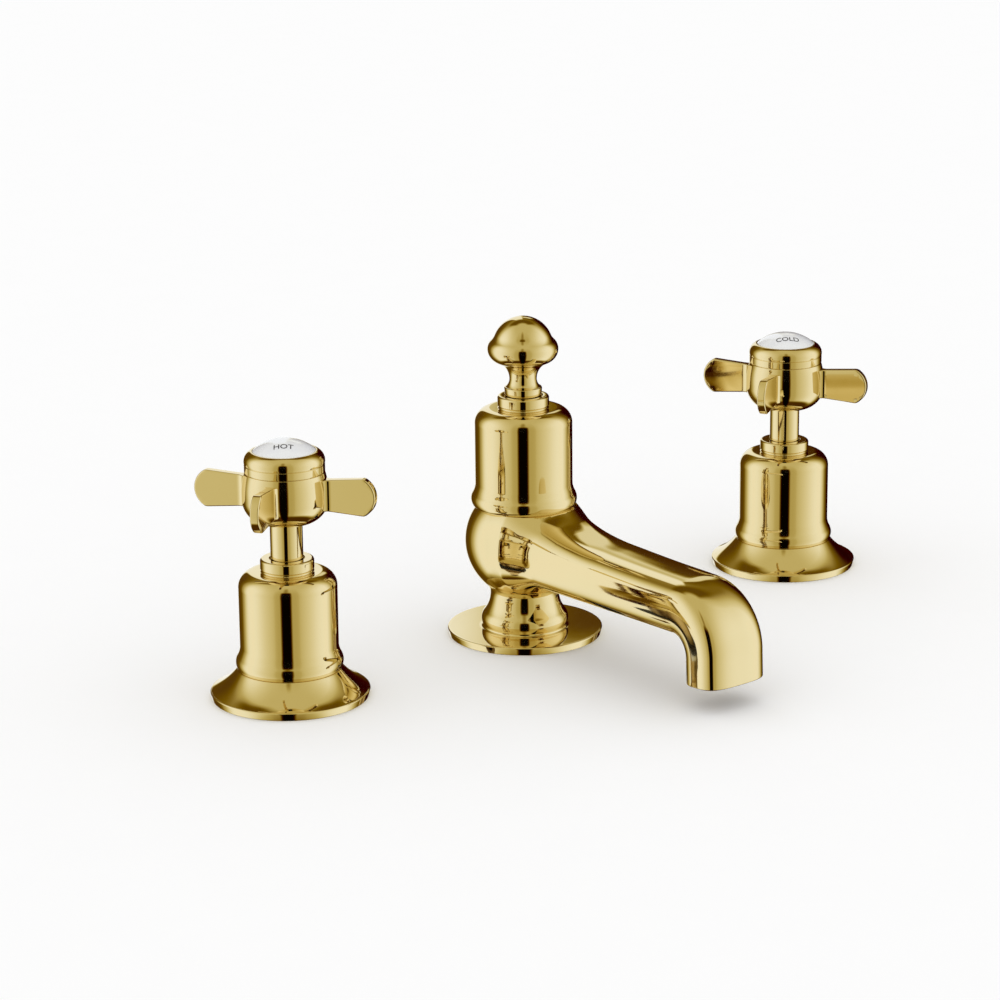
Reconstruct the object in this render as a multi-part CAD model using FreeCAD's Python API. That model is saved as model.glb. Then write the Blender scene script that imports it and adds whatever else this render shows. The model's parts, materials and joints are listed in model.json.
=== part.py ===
import FreeCAD, Part
import math
import os

# Deck-mounted bath filler: a hot valve, a cold valve and a low spout with a lift knob.
# Millimetres. The deck is the plane z = 0 and +Z is up. The spout stands on the Z axis and
# pours towards -Y, with the hot valve on -X and the cold valve on +X.

# Layout on the deck
hot_valve_offset = 115.4
cold_valve_offset = 143.1
deck_thickness = 20.0
hot_handle_rest_angle = 35.0
cold_handle_rest_angle = 29.0

# Fits
running_clearance = 0.05
thread_clearance = 0.05
loose_clearance = 0.3
cut_overrun = 1.0

# Pipe threads, drawn as plain cylinders at their outside diameter
shank_diameter = 26.4
union_diameter = 20.9
union_bore_diameter = 14.0
union_length = 14.0

# Clamping set: a seal in the flange, two washers and a backnut under the deck
deck_seal_height = 2.0
deck_seal_width = 5.0
deck_seal_inset = 4.0
washer_diameter = 44.0
under_washer_height = 2.0
clamp_washer_height = 2.0
backnut_flats = 36.0
backnut_height = 8.0

# Valve flange
valve_flange_diameter = 60.0
valve_flange_height = 11.4
flange_rim_height = 2.6
flange_edge_round = 0.5
flange_foot_tuck = 0.7
flange_dish_sag = 0.8
flange_seat_width = 6.4

# Bell covers
valve_bell_diameter = 37.0
valve_bell_height = 37.6
spout_bell_diameter = 38.2
spout_bell_height = 39.0
bell_wall = 1.8
bell_lip_stand = 1.7
bell_lip_round = 4.5
bell_lip_rise = 2.6
bell_cove_rise = 6.5
bell_shoulder_round = 6.0

# Collar rings on the bells
collar_diameter = 20.2
collar_height = 5.0
collar_top_round = 1.0
collar_bead_stand = 0.7
collar_bead_height = 1.2
collar_thread_length = 3.0

# Valve body
valve_body_height = 30.0
valve_shank_drop = 36.0
outlet_block_diameter = 30.0
outlet_block_height = 26.0
side_outlet_reach = 32.0
inlet_way_diameter = 8.4
outlet_way_diameter = 5.2
outlet_way_offset = 8.6
side_way_diameter = 10.0

# Ceramic disc cartridge, stacked up from its seat
cartridge_depth = 19.6
seat_seal_height = 1.6
seat_seal_stand = 0.6
disc_diameter = 14.8
disc_height = 2.6
disc_port_diameter = 4.0
disc_port_offset = 3.8
disc_channel_width = 4.0
disc_channel_depth = 1.2
housing_foot_diameter = 17.8
housing_foot_height = 9.0
housing_hex_flats = 22.0
housing_hex_height = 6.0
housing_neck_diameter = 16.0

# Spindle
spindle_diameter = 8.0
spindle_flange_height = 2.0
spindle_tongue_width = 3.0
spindle_tongue_height = 0.9
spindle_square = 5.6
spindle_square_length = 10.0
seal_section = 1.0
seal_spacing = 5.0
seal_groove_width = 1.4
circlip_height = 0.9
circlip_width = 1.9
circlip_groove_depth = 0.6

# Cross handle
stem_diameter = 12.2
stem_bore_diameter = 9.0
stem_hole_diameter = 13.2
stem_socket_depth = 2.6
handle_lift = 13.8
hub_diameter = 32.2
hub_top_diameter = 29.8
hub_height = 19.4
hub_foot_round = 9.0
hub_belly_rise = 11.0
hub_pocket_diameter = 18.0
hub_pocket_depth = 6.0
hub_web = 1.5
paddle_reach = 35.2
paddle_root_height = 10.8
paddle_tip_height = 14.3
paddle_end_bulge = 4.4
paddle_thickness = 3.4
paddle_level = 11.4
paddle_corner_round = 2.6
paddle_edge_round = 0.6
paddle_flare = 1.6
paddle_count = 4
screw_diameter = 4.0
screw_grip = 8.0
screw_head_diameter = 8.0
screw_head_height = 2.6
screw_socket_flats = 2.5
screw_socket_depth = 1.5

# Cap ring and index disc
cap_diameter = 30.0
cap_seam = 0.3
cap_band_height = 2.6
cap_groove_depth = 0.3
cap_groove_height = 0.4
cap_shoulder_height = 4.7
cap_shoulder_bulge = 1.0
cap_bezel_width = 0.5
cap_spigot_length = 3.0
cap_spigot_wall = 2.0
index_disc_diameter = 23.5
index_disc_edge_height = 2.0
index_dome_rise = 4.4

# Spout body
spout_flange_diameter = 61.2
spout_flange_crown = 0.8
neck_diameter = 27.2
neck_lip_stand = 3.6
neck_lip_round = 5.2
neck_lip_rise = 3.3
neck_foot_cove_round = 0.8
neck_cove_round = 6.0
globe_diameter = 46.6
globe_level = 38.5
bell_seat_level = 53.0
arm_width = 30.2
arm_thickness = 20.7
arm_squareness = 3.2
arm_section_count = 24
arm_root_share = 1.1055
arm_level = 35.0
arm_run = 98.2
bend_round = 16.0
bend_angle = 88.0
bend_section_count = 4
nozzle_length = 10.3
nozzle_thickness = 18.6
nozzle_edge_round = 0.5
globe_blend_round = 12.0
arm_station_shares = (0.06, 0.14, 0.22, 0.32, 0.44, 0.6, 0.8, 1.0)
arm_swell_shares = (0.42, 0.335, 0.24, 0.14, 0.073, 0.04, 0.013, 0.0)

# Spout waterway and shank
arm_way_diameter = 14.0
nozzle_way_diameter = 15.2
globe_way_diameter = 19.6
shank_socket_depth = 10.0
shank_way_diameter = 19.0
spout_shank_drop = 50.0
tee_diameter = 34.0
tee_height = 26.0
tee_floor = 3.0
tee_reach = 30.0
tee_thread_length = 8.0
tee_seal_height = 1.5

# Lift rod, gland and knob
rod_diameter = 5.0
rod_travel = 15.0
rod_tail = 14.0
guide_diameter = 9.0
guide_wall = 1.2
gland_thread_length = 8.0
gland_hex_height = 6.0
knob_skirt_diameter = 14.8
knob_skirt_foot_diameter = 13.8
knob_skirt_height = 3.4
knob_rim_round = 0.6
knob_neck_diameter = 10.7
knob_neck_rise = 6.5
knob_bulge_diameter = 27.6
knob_bulge_rise = 18.4
knob_bulge_foot_round = 5.4
knob_bulge_top_round = 4.6
knob_dome_diameter = 23.6
knob_height = 31.2
knob_cove_round = 6.0
knob_rod_depth = 12.0

# Radii and levels that follow from the sizes above
shank_radius = shank_diameter / 2
union_radius = union_diameter / 2
valve_bell_top = valve_flange_height + valve_bell_height
spout_bell_top = bell_seat_level + spout_bell_height
collar_radius = collar_diameter / 2
neck_top = valve_bell_top + collar_thread_length
gland_top = spout_bell_top + collar_thread_length
circlip_foot = neck_top + running_clearance
stem_foot = circlip_foot + circlip_height + running_clearance
collar_top = valve_bell_top + collar_height
hub_foot = collar_top + handle_lift
hub_top = hub_foot + hub_height
hub_pocket_floor = hub_top - hub_pocket_depth
spindle_top = hub_pocket_floor - hub_web
cap_foot = hub_top + cap_seam
cap_shoulder_foot = cap_foot + cap_band_height + cap_groove_height
cap_top = cap_shoulder_foot + cap_shoulder_height
seat_level = valve_body_height - cartridge_depth
fixed_disc_level = seat_level + seat_seal_height
moving_disc_level = fixed_disc_level + disc_height
spindle_foot = moving_disc_level + disc_height
chamber_top = spindle_foot + spindle_flange_height + running_clearance
spindle_radius = spindle_diameter / 2
spout_collar_top = spout_bell_top + collar_height
washer_top = -deck_thickness
backnut_top = washer_top - under_washer_height - clamp_washer_height

UP = FreeCAD.Vector(0, 0, 1)
CENTRE = FreeCAD.Vector(0, 0, 0)


class HalfSection:
    """A closed outline of radius and height, turned round the Z axis into a solid."""

    def __init__(self, radius, height):
        self.start = FreeCAD.Vector(radius, 0, height)
        self.here = self.start
        self.edges = []

    def line(self, radius, height):
        there = FreeCAD.Vector(radius, 0, height)
        self.edges.append(Part.LineSegment(self.here, there).toShape())
        self.here = there
        return self

    def arc(self, radius, height, centre_radius, centre_height):
        """The shorter arc to a point, round a centre."""
        there = FreeCAD.Vector(radius, 0, height)
        centre = FreeCAD.Vector(centre_radius, 0, centre_height)
        outward = (self.here + there) * 0.5 - centre
        middle = centre + outward.normalize() * (there - centre).Length
        self.edges.append(Part.Arc(self.here, middle, there).toShape())
        self.here = there
        return self

    def bow(self, radius, height, bulge):
        """An arc to a point whose middle stands off the straight run by bulge, to its right."""
        there = FreeCAD.Vector(radius, 0, height)
        along = there - self.here
        side = FreeCAD.Vector(along.z, 0, -along.x).normalize()
        middle = (self.here + there) * 0.5 + side * bulge
        self.edges.append(Part.Arc(self.here, middle, there).toShape())
        self.here = there
        return self

    def turned(self):
        self.line(self.start.x, self.start.z)
        return Part.Face(Part.Wire(self.edges)).revolve(CENTRE, UP, 360)


def rod(radius, low, high):
    """An upright cylinder on the axis between two levels."""
    return Part.makeCylinder(radius, high - low, FreeCAD.Vector(0, 0, low))


def pipe(radius, bore_radius, low, high):
    """An upright tube on the axis between two levels."""
    return rod(radius, low, high).cut(rod(bore_radius, low - cut_overrun, high + cut_overrun))


def hexagon(flats, low, high):
    """An upright hexagonal bar on the axis between two levels."""
    corner = flats / 2 / math.cos(math.pi / 6)
    turns = [index * math.pi / 3 for index in range(7)]
    points = [FreeCAD.Vector(corner * math.cos(a), corner * math.sin(a), low) for a in turns]
    return Part.Face(Part.makePolygon(points)).extrude(FreeCAD.Vector(0, 0, high - low))


def block(length, width, low, high):
    """An upright box centred on the axis between two levels."""
    corner = FreeCAD.Vector(-length / 2, -width / 2, low)
    return Part.makeBox(length, width, high - low, corner)


def cove_centre(first, first_round, second, second_round, cove_round):
    """Centre of a hollow arc that touches two round forms from outside, as (radius, height)."""
    reach_first = first_round + cove_round
    reach_second = second_round + cove_round
    apart_r = second[0] - first[0]
    apart_z = second[1] - first[1]
    apart = math.hypot(apart_r, apart_z)
    along = (reach_first ** 2 - reach_second ** 2 + apart ** 2) / (2 * apart)
    across = math.sqrt(reach_first ** 2 - along ** 2)
    radius = first[0] + (along * apart_r + across * apart_z) / apart
    height = first[1] + (along * apart_z - across * apart_r) / apart
    return radius, height


def between(start, end, distance):
    """The point at a distance from start on the way to end, both (radius, height)."""
    share = distance / math.hypot(end[0] - start[0], end[1] - start[1])
    return start[0] + (end[0] - start[0]) * share, start[1] + (end[1] - start[1]) * share


def lip_and_cove(outline, wall_radius, lip_radius, lip_round, lip_level, cove_level):
    """A rounded lip from where the outline stands, then a hollow cove up into an upright wall."""
    lip_centre = lip_radius - lip_round
    reach = wall_radius - lip_centre
    rise = cove_level - lip_level
    cove_round = (reach ** 2 + rise ** 2 - lip_round ** 2) / (lip_round - reach) / 2
    touch = between((lip_centre, lip_level), (wall_radius + cove_round, cove_level), lip_round)
    outline.arc(touch[0], touch[1], lip_centre, lip_level)
    outline.arc(wall_radius, cove_level, wall_radius + cove_round, cove_level)


def lip_foot(lip_radius, lip_round, rise):
    """Radius where a rounded lip meets the face that it stands on, below its widest level."""
    return lip_radius - lip_round + math.sqrt(lip_round ** 2 - rise ** 2)


def clamping_set(flange_radius, bore_radius):
    """Deck seal, two washers and backnut round a shank, in the order they go on."""
    seal_outer = flange_radius - deck_seal_inset
    clamp_top = washer_top - under_washer_height
    nut = hexagon(backnut_flats, backnut_top - backnut_height, backnut_top)
    nut_bore = rod(shank_radius + thread_clearance, backnut_top - backnut_height - cut_overrun,
                   backnut_top + cut_overrun)
    return {
        "deck_seal": pipe(seal_outer, seal_outer - deck_seal_width, 0, deck_seal_height),
        "under_washer": pipe(washer_diameter / 2, bore_radius, clamp_top, washer_top),
        "clamp_washer": pipe(washer_diameter / 2, bore_radius, backnut_top, clamp_top),
        "backnut": nut.cut(nut_bore),
    }


def seal_groove(flange_radius):
    """The groove under a flange that holds its deck seal."""
    seal_outer = flange_radius - deck_seal_inset
    return pipe(seal_outer + loose_clearance, seal_outer - deck_seal_width - loose_clearance,
                -cut_overrun, deck_seal_height)


def bell_cover(radius, foot, height, hole_radius):
    """A hollow bell: rounded lip, cove into a straight wall, rounded shoulder, flat top."""
    lip_radius = radius + bell_lip_stand
    lip_level = foot + bell_lip_rise
    top = foot + height
    shoulder_level = top - bell_shoulder_round
    shoulder_radius = radius - bell_shoulder_round
    inner = radius - bell_wall
    outline = HalfSection(inner, foot)
    outline.line(lip_foot(lip_radius, bell_lip_round, bell_lip_rise), foot)
    lip_and_cove(outline, radius, lip_radius, bell_lip_round, lip_level, lip_level + bell_cove_rise)
    outline.line(radius, shoulder_level)
    outline.arc(shoulder_radius, top, shoulder_radius, shoulder_level)
    outline.line(hole_radius, top)
    outline.line(hole_radius, top - bell_wall)
    outline.line(shoulder_radius, top - bell_wall)
    outline.arc(inner, shoulder_level, shoulder_radius, shoulder_level)
    return outline.turned()


def collar_ring(foot, hole_radius):
    """A ring nut on a bell: bead at its foot, rounded top, thread below and a clear hole above."""
    top = foot + collar_height
    thread_radius = housing_neck_diameter / 2 + thread_clearance
    thread_top = foot + collar_thread_length + running_clearance
    outline = HalfSection(thread_radius, foot)
    outline.line(collar_radius, foot)
    outline.bow(collar_radius, foot + collar_bead_height, collar_bead_stand)
    outline.line(collar_radius, top - collar_top_round)
    outline.arc(collar_radius - collar_top_round, top, collar_radius - collar_top_round,
                top - collar_top_round)
    outline.line(hole_radius, top)
    outline.line(hole_radius, thread_top)
    outline.line(thread_radius, thread_top)
    return outline.turned()


def valve_flange():
    """Turned base flange: upright rim, hollow dish and a flat seat for the bell."""
    radius = valve_flange_diameter / 2
    bore = shank_radius + thread_clearance
    outline = HalfSection(bore, 0)
    outline.line(radius - flange_foot_tuck, 0)
    outline.line(radius, flange_rim_height)
    outline.arc(radius - flange_edge_round, flange_rim_height + flange_edge_round,
                radius - flange_edge_round, flange_rim_height)
    outline.bow(bore + flange_seat_width, valve_flange_height, -flange_dish_sag)
    outline.line(bore, valve_flange_height)
    return outline.turned().cut(seal_groove(radius))


def valve_body(towards_spout):
    """Threaded body with an inlet tail below, a side outlet and a cartridge bore on top."""
    block_top = -valve_shank_drop
    block_foot = block_top - outlet_block_height
    tail_foot = block_foot - union_length
    outlet_axis = (block_top + block_foot) / 2
    sideways = FreeCAD.Vector(towards_spout, 0, 0)
    middle = FreeCAD.Vector(0, 0, outlet_axis)
    way_start = FreeCAD.Vector(towards_spout * outlet_way_offset, 0, outlet_axis)
    way_length = side_outlet_reach - outlet_way_offset + cut_overrun
    solid = rod(shank_radius, block_top, valve_body_height)
    solid = solid.fuse(rod(outlet_block_diameter / 2, block_foot, block_top))
    solid = solid.fuse(rod(union_radius, tail_foot, block_foot))
    solid = solid.fuse(Part.makeCylinder(union_radius, side_outlet_reach, middle, sideways))
    solid = solid.cut(rod(union_radius + thread_clearance, seat_level, valve_body_height + cut_overrun))
    solid = solid.cut(rod(inlet_way_diameter / 2, tail_foot - cut_overrun, seat_level + cut_overrun))
    solid = solid.cut(rod(union_bore_diameter / 2, tail_foot - cut_overrun, block_foot))
    outlet_way = rod(outlet_way_diameter / 2, outlet_axis, seat_level + cut_overrun)
    outlet_way.translate(sideways * outlet_way_offset)
    solid = solid.cut(outlet_way)
    return solid.cut(Part.makeCylinder(side_way_diameter / 2, way_length, way_start, sideways))


def cartridge_housing():
    """Headwork: foot with two water windows, thread, hexagon and a neck for the spindle."""
    foot = seat_level + seat_seal_stand
    hex_top = valve_body_height + housing_hex_height
    solid = rod(housing_foot_diameter / 2, foot, foot + housing_foot_height)
    solid = solid.fuse(rod(union_radius, foot + housing_foot_height, valve_body_height))
    solid = solid.fuse(hexagon(housing_hex_flats, valve_body_height, hex_top))
    solid = solid.fuse(rod(housing_neck_diameter / 2, hex_top, neck_top))
    solid = solid.cut(rod(disc_diameter / 2 + running_clearance, foot - cut_overrun, chamber_top))
    solid = solid.cut(rod(spindle_radius + running_clearance, chamber_top, neck_top + cut_overrun))
    window = block(housing_foot_diameter + cut_overrun, disc_channel_width,
                   moving_disc_level, spindle_foot)
    return solid.cut(window)


def disc_ports():
    """Two round ports through the lower disc and its seal."""
    top = moving_disc_level + cut_overrun
    ports = [rod(disc_port_diameter / 2, seat_level - cut_overrun, top) for side in range(2)]
    ports[0].translate(FreeCAD.Vector(disc_port_offset, 0, 0))
    ports[1].translate(FreeCAD.Vector(-disc_port_offset, 0, 0))
    return ports[0].fuse(ports[1])


def seat_seal():
    """Rubber seal on the body's seat, open to the inlet."""
    return pipe(disc_diameter / 2, inlet_way_diameter / 2, seat_level, fixed_disc_level)


def fixed_disc():
    """Lower ceramic disc with its two ports."""
    return rod(disc_diameter / 2, fixed_disc_level, moving_disc_level).cut(disc_ports())


def moving_disc():
    """Upper ceramic disc: a channel below, which lies across the ports when shut, and a slot above."""
    channel = block(disc_channel_width, disc_diameter + cut_overrun,
                    moving_disc_level - cut_overrun, moving_disc_level + disc_channel_depth)
    slot = block(spindle_tongue_width + 2 * running_clearance, disc_diameter + cut_overrun,
                 spindle_foot - spindle_tongue_height, spindle_foot + cut_overrun)
    return rod(disc_diameter / 2, moving_disc_level, spindle_foot).cut(channel).cut(slot)


def seal_levels():
    """Middle heights of the two O-rings on the spindle."""
    first = valve_body_height + housing_hex_height
    return first, first + seal_spacing


def spindle():
    """Spindle: tongue and flange below, two seal grooves, circlip groove and a square on top."""
    flange_top = spindle_foot + spindle_flange_height
    square_foot = spindle_top - spindle_square_length
    solid = rod(disc_diameter / 2, spindle_foot, flange_top)
    tongue = block(spindle_tongue_width, disc_diameter, spindle_foot - spindle_tongue_height, flange_top)
    solid = solid.fuse(tongue.common(rod(disc_diameter / 2, spindle_foot - cut_overrun, flange_top)))
    solid = solid.fuse(rod(spindle_radius, flange_top, square_foot))
    solid = solid.fuse(block(spindle_square, spindle_square, square_foot, spindle_top))
    for level in seal_levels():
        solid = solid.cut(pipe(spindle_radius + cut_overrun, spindle_radius - seal_section,
                               level - seal_groove_width / 2, level + seal_groove_width / 2))
    solid = solid.cut(pipe(spindle_radius + cut_overrun, spindle_radius - circlip_groove_depth,
                           circlip_foot, circlip_foot + circlip_height))
    return solid.cut(rod(screw_diameter / 2 + thread_clearance, spindle_top - screw_grip,
                         spindle_top + cut_overrun))


def o_rings(shaft_radius, levels):
    """O-rings let into a shaft, one at each level."""
    ring_radius = shaft_radius - seal_section / 2
    rings = [Part.makeTorus(ring_radius, seal_section / 2, FreeCAD.Vector(0, 0, level)) for level in levels]
    return Part.makeCompound(rings)


def circlip():
    """Open retaining ring in the spindle's groove."""
    inner = spindle_radius - circlip_groove_depth
    ring = pipe(inner + circlip_width, inner, circlip_foot, circlip_foot + circlip_height)
    gap = Part.makeBox(inner + circlip_width + cut_overrun, inner, circlip_height,
                       FreeCAD.Vector(0, -inner / 2, circlip_foot))
    return ring.cut(gap)


def stem_sleeve():
    """Round sleeve over the spindle, from inside the collar up into the hub."""
    return pipe(stem_diameter / 2, stem_bore_diameter / 2, stem_foot, hub_foot + stem_socket_depth)


def paddle():
    """One flat arm along +X: a tapered blade with a bowed end and a hollow flare at the hub."""
    hub_radius = hub_diameter / 2
    level = hub_foot + paddle_level
    half = paddle_thickness / 2
    root = hub_pocket_diameter / 2
    corner = paddle_reach - paddle_end_bulge
    low_root = FreeCAD.Vector(root, -half, level - paddle_root_height / 2)
    low_tip = FreeCAD.Vector(corner, -half, level - paddle_tip_height / 2)
    tip = FreeCAD.Vector(paddle_reach, -half, level)
    high_tip = FreeCAD.Vector(corner, -half, level + paddle_tip_height / 2)
    high_root = FreeCAD.Vector(root, -half, level + paddle_root_height / 2)
    outline = Part.Wire([
        Part.LineSegment(low_root, low_tip).toShape(),
        Part.Arc(low_tip, tip, high_tip).toShape(),
        Part.LineSegment(high_tip, high_root).toShape(),
        Part.LineSegment(high_root, low_root).toShape(),
    ])
    blade = Part.Face(outline).extrude(FreeCAD.Vector(0, paddle_thickness, 0))
    ends = [edge for edge in blade.Edges if edge.BoundBox.XLength < half and edge.BoundBox.XMax > hub_radius]
    blade = blade.makeFillet(paddle_corner_round, ends)
    rims = [edge for edge in blade.Edges if edge.BoundBox.YLength < half and edge.BoundBox.XMax > hub_radius]
    blade = blade.makeFillet(paddle_edge_round, rims)
    wide = half + paddle_flare
    meet = math.sqrt(hub_radius ** 2 - wide ** 2)
    end = meet + paddle_flare
    foot = level - paddle_root_height / 2
    hollow = paddle_flare * (1 - math.sin(math.pi / 4))
    points = {side: [FreeCAD.Vector(root, side * wide, foot), FreeCAD.Vector(meet, side * wide, foot),
                     FreeCAD.Vector(meet + hollow, side * (half + hollow), foot),
                     FreeCAD.Vector(end, side * half, foot)] for side in (-1, 1)}
    flare = Part.Wire([
        Part.LineSegment(points[-1][0], points[-1][1]).toShape(),
        Part.Arc(points[-1][1], points[-1][2], points[-1][3]).toShape(),
        Part.LineSegment(points[-1][3], points[1][3]).toShape(),
        Part.Arc(points[1][3], points[1][2], points[1][1]).toShape(),
        Part.LineSegment(points[1][1], points[1][0]).toShape(),
        Part.LineSegment(points[1][0], points[-1][0]).toShape(),
    ])
    return blade.fuse(Part.Face(flare).extrude(FreeCAD.Vector(0, 0, paddle_root_height)))


def cross_handle(rest_angle):
    """Round hub with four paddles, bored for the stem, the spindle's square and the cap."""
    radius = hub_diameter / 2
    round_level = hub_foot + hub_foot_round
    belly = hub_foot + hub_belly_rise
    drop = radius - hub_top_diameter / 2
    belly_round = (drop ** 2 + (hub_top - belly) ** 2) / (2 * drop)
    outline = HalfSection(0, hub_foot)
    outline.line(radius - hub_foot_round, hub_foot)
    outline.arc(radius, round_level, radius - hub_foot_round, round_level)
    outline.line(radius, belly)
    outline.arc(hub_top_diameter / 2, hub_top, radius - belly_round, belly)
    outline.line(0, hub_top)
    solid = outline.turned()
    for index in range(paddle_count):
        arm = paddle()
        arm.rotate(CENTRE, UP, rest_angle + 360 * index / paddle_count)
        solid = solid.fuse(arm)
    square_side = spindle_square + 2 * running_clearance
    square_foot = spindle_top - spindle_square_length
    solid = solid.cut(rod(hub_pocket_diameter / 2, hub_pocket_floor, hub_top + cut_overrun))
    solid = solid.cut(rod(stem_diameter / 2 + thread_clearance, hub_foot - cut_overrun,
                          hub_foot + stem_socket_depth))
    solid = solid.cut(rod(spindle_radius + loose_clearance, hub_foot, square_foot))
    solid = solid.cut(block(square_side, square_side, square_foot, spindle_top))
    solid = solid.cut(rod(screw_diameter / 2 + loose_clearance, spindle_top, hub_pocket_floor + cut_overrun))
    return solid.removeSplitter()


def handle_screw():
    """Socket screw through the hub's web into the spindle."""
    head_top = hub_pocket_floor + screw_head_height
    solid = rod(screw_diameter / 2, spindle_top - screw_grip, hub_pocket_floor)
    solid = solid.fuse(rod(screw_head_diameter / 2, hub_pocket_floor, head_top))
    return solid.cut(hexagon(screw_socket_flats, head_top - screw_socket_depth, head_top + cut_overrun))


def cap_ring():
    """Ring over the hub: plain band, fine groove, rounded shoulder and a thin bezel round the disc."""
    radius = cap_diameter / 2
    seat = index_disc_diameter / 2 + running_clearance
    spigot = hub_pocket_diameter / 2 - thread_clearance
    bore = spigot - cap_spigot_wall
    band_top = cap_foot + cap_band_height
    floor = cap_top - index_disc_edge_height
    outline = HalfSection(bore, hub_top - cap_spigot_length)
    outline.line(spigot, hub_top - cap_spigot_length)
    outline.line(spigot, hub_top)
    outline.line(radius - cap_seam, hub_top)
    outline.line(radius - cap_seam, cap_foot)
    outline.line(radius, cap_foot)
    outline.line(radius, band_top)
    outline.line(radius - cap_groove_depth, band_top + cap_groove_height / 2)
    outline.line(radius, cap_shoulder_foot)
    outline.bow(seat + cap_bezel_width, cap_top, cap_shoulder_bulge)
    outline.line(seat, cap_top)
    outline.line(seat, floor)
    outline.line(bore, floor)
    return outline.turned()


def index_disc():
    """Domed porcelain disc in the cap ring."""
    radius = index_disc_diameter / 2
    dome_round = (radius ** 2 + index_dome_rise ** 2) / (2 * index_dome_rise)
    outline = HalfSection(0, cap_top - index_disc_edge_height)
    outline.line(radius, cap_top - index_disc_edge_height)
    outline.line(radius, cap_top)
    outline.arc(0, cap_top + index_dome_rise, 0, cap_top + index_dome_rise - dome_round)
    return outline.turned()


def valve_unit(towards_spout, rest_angle):
    """All pieces of one side valve, on the Z axis."""
    neck_hole = housing_neck_diameter / 2 + loose_clearance
    pieces = clamping_set(valve_flange_diameter / 2, shank_radius + loose_clearance)
    pieces["deck_flange"] = valve_flange()
    pieces["valve_body"] = valve_body(towards_spout)
    pieces["cartridge_housing"] = cartridge_housing()
    pieces["seat_seal"] = seat_seal()
    pieces["fixed_disc"] = fixed_disc()
    pieces["bell_cover"] = bell_cover(valve_bell_diameter / 2, valve_flange_height, valve_bell_height,
                                      neck_hole)
    pieces["collar_ring"] = collar_ring(valve_bell_top, stem_hole_diameter / 2)
    moving = {
        "moving_disc": moving_disc(),
        "spindle": spindle(),
        "spindle_seals": o_rings(spindle_radius, seal_levels()),
        "circlip": circlip(),
        "stem_sleeve": stem_sleeve(),
        "cross_handle": cross_handle(rest_angle),
        "handle_screw": handle_screw(),
        "cap_ring": cap_ring(),
        "index_disc": index_disc(),
    }
    pieces.update(moving)
    return pieces


def arm_section(width, thickness, y, z, turn):
    """A rounded oblong across the arm, facing along it, turned down from level by an angle.

    Across over half the width and up over half the thickness, each raised to the squareness,
    add up to one all round.
    """
    points = []
    for index in range(arm_section_count):
        angle = 2 * math.pi * index / arm_section_count
        across, lift = math.sin(angle), math.cos(angle)
        reach = (abs(across) ** arm_squareness + abs(lift) ** arm_squareness) ** (-1 / arm_squareness)
        points.append(FreeCAD.Vector(width / 2 * reach * across, 0, thickness / 2 * reach * lift))
    curve = Part.BSplineCurve()
    curve.interpolate(Points=points, PeriodicFlag=True)
    ring = curve.toShape()
    ring.rotate(CENTRE, FreeCAD.Vector(1, 0, 0), turn)
    ring.translate(FreeCAD.Vector(0, y, z))
    return Part.Wire(ring)


def bend_point(turn):
    """Middle of the arm's bend where it has turned down by an angle, as (y, z)."""
    y = -arm_run - bend_round * math.sin(math.radians(turn))
    return y, arm_level - bend_round * (1 - math.cos(math.radians(turn)))


def nozzle_direction():
    """Where the nozzle points."""
    turn = math.radians(bend_angle)
    return FreeCAD.Vector(0, -math.cos(turn), -math.sin(turn))


def spout_arm():
    """Outside of the arm: it swells upwards towards the globe and bends down into the nozzle."""
    swell = (globe_diameter - arm_thickness) / 2
    spread = (globe_diameter - arm_width) * arm_root_share
    sections = []
    for station, share in zip(arm_station_shares, arm_swell_shares):
        lift = swell * share
        sections.append(arm_section(arm_width + spread * share, arm_thickness + 2 * lift,
                                    -arm_run * station, arm_level + lift, 0))
    for step in range(1, bend_section_count + 1):
        share = step / bend_section_count
        thickness = arm_thickness + (nozzle_thickness - arm_thickness) * share
        turn = bend_angle * share
        sections.append(arm_section(arm_width, thickness, *bend_point(turn), turn))
    nozzle = Part.Face(sections[-1]).extrude(nozzle_direction() * nozzle_length)
    mouth = min(nozzle.Edges, key=lambda edge: edge.BoundBox.Center.z)
    nozzle = nozzle.makeFillet(nozzle_edge_round, [mouth])
    return Part.makeLoft(sections, True, False).fuse(nozzle)


def spout_column():
    """Outside of the crowned flange, the neck with its lip and the globe, as one turned form."""
    radius = spout_flange_diameter / 2
    neck_radius = neck_diameter / 2
    globe_radius = globe_diameter / 2
    cove = neck_radius + neck_cove_round
    waist = globe_level - math.sqrt((globe_radius + neck_cove_round) ** 2 - cove ** 2)
    touch = between((0, globe_level), (cove, waist), globe_radius)
    flange_top = flange_rim_height + flange_edge_round
    lip_radius = neck_radius + neck_lip_stand
    lip = (lip_radius - neck_lip_round, flange_top + neck_lip_rise)
    rim = radius - flange_edge_round
    crown_round = (rim ** 2 + spout_flange_crown ** 2) / spout_flange_crown / 2
    crown = (0, flange_top + spout_flange_crown - crown_round)
    foot_cove = cove_centre(crown, crown_round, lip, neck_lip_round, neck_foot_cove_round)
    outline = HalfSection(0, 0)
    outline.line(radius - flange_foot_tuck, 0)
    outline.line(radius, flange_rim_height)
    outline.arc(radius - flange_edge_round, flange_top, radius - flange_edge_round, flange_rim_height)
    outline.arc(*between(foot_cove, crown, neck_foot_cove_round), *crown)
    outline.arc(*between(foot_cove, lip, neck_foot_cove_round), *foot_cove)
    lip_and_cove(outline, neck_radius, lip_radius, neck_lip_round, lip[1], waist)
    outline.arc(touch[0], touch[1], cove, waist)
    outline.arc(0, globe_level + globe_radius, 0, globe_level)
    return outline.turned()


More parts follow.
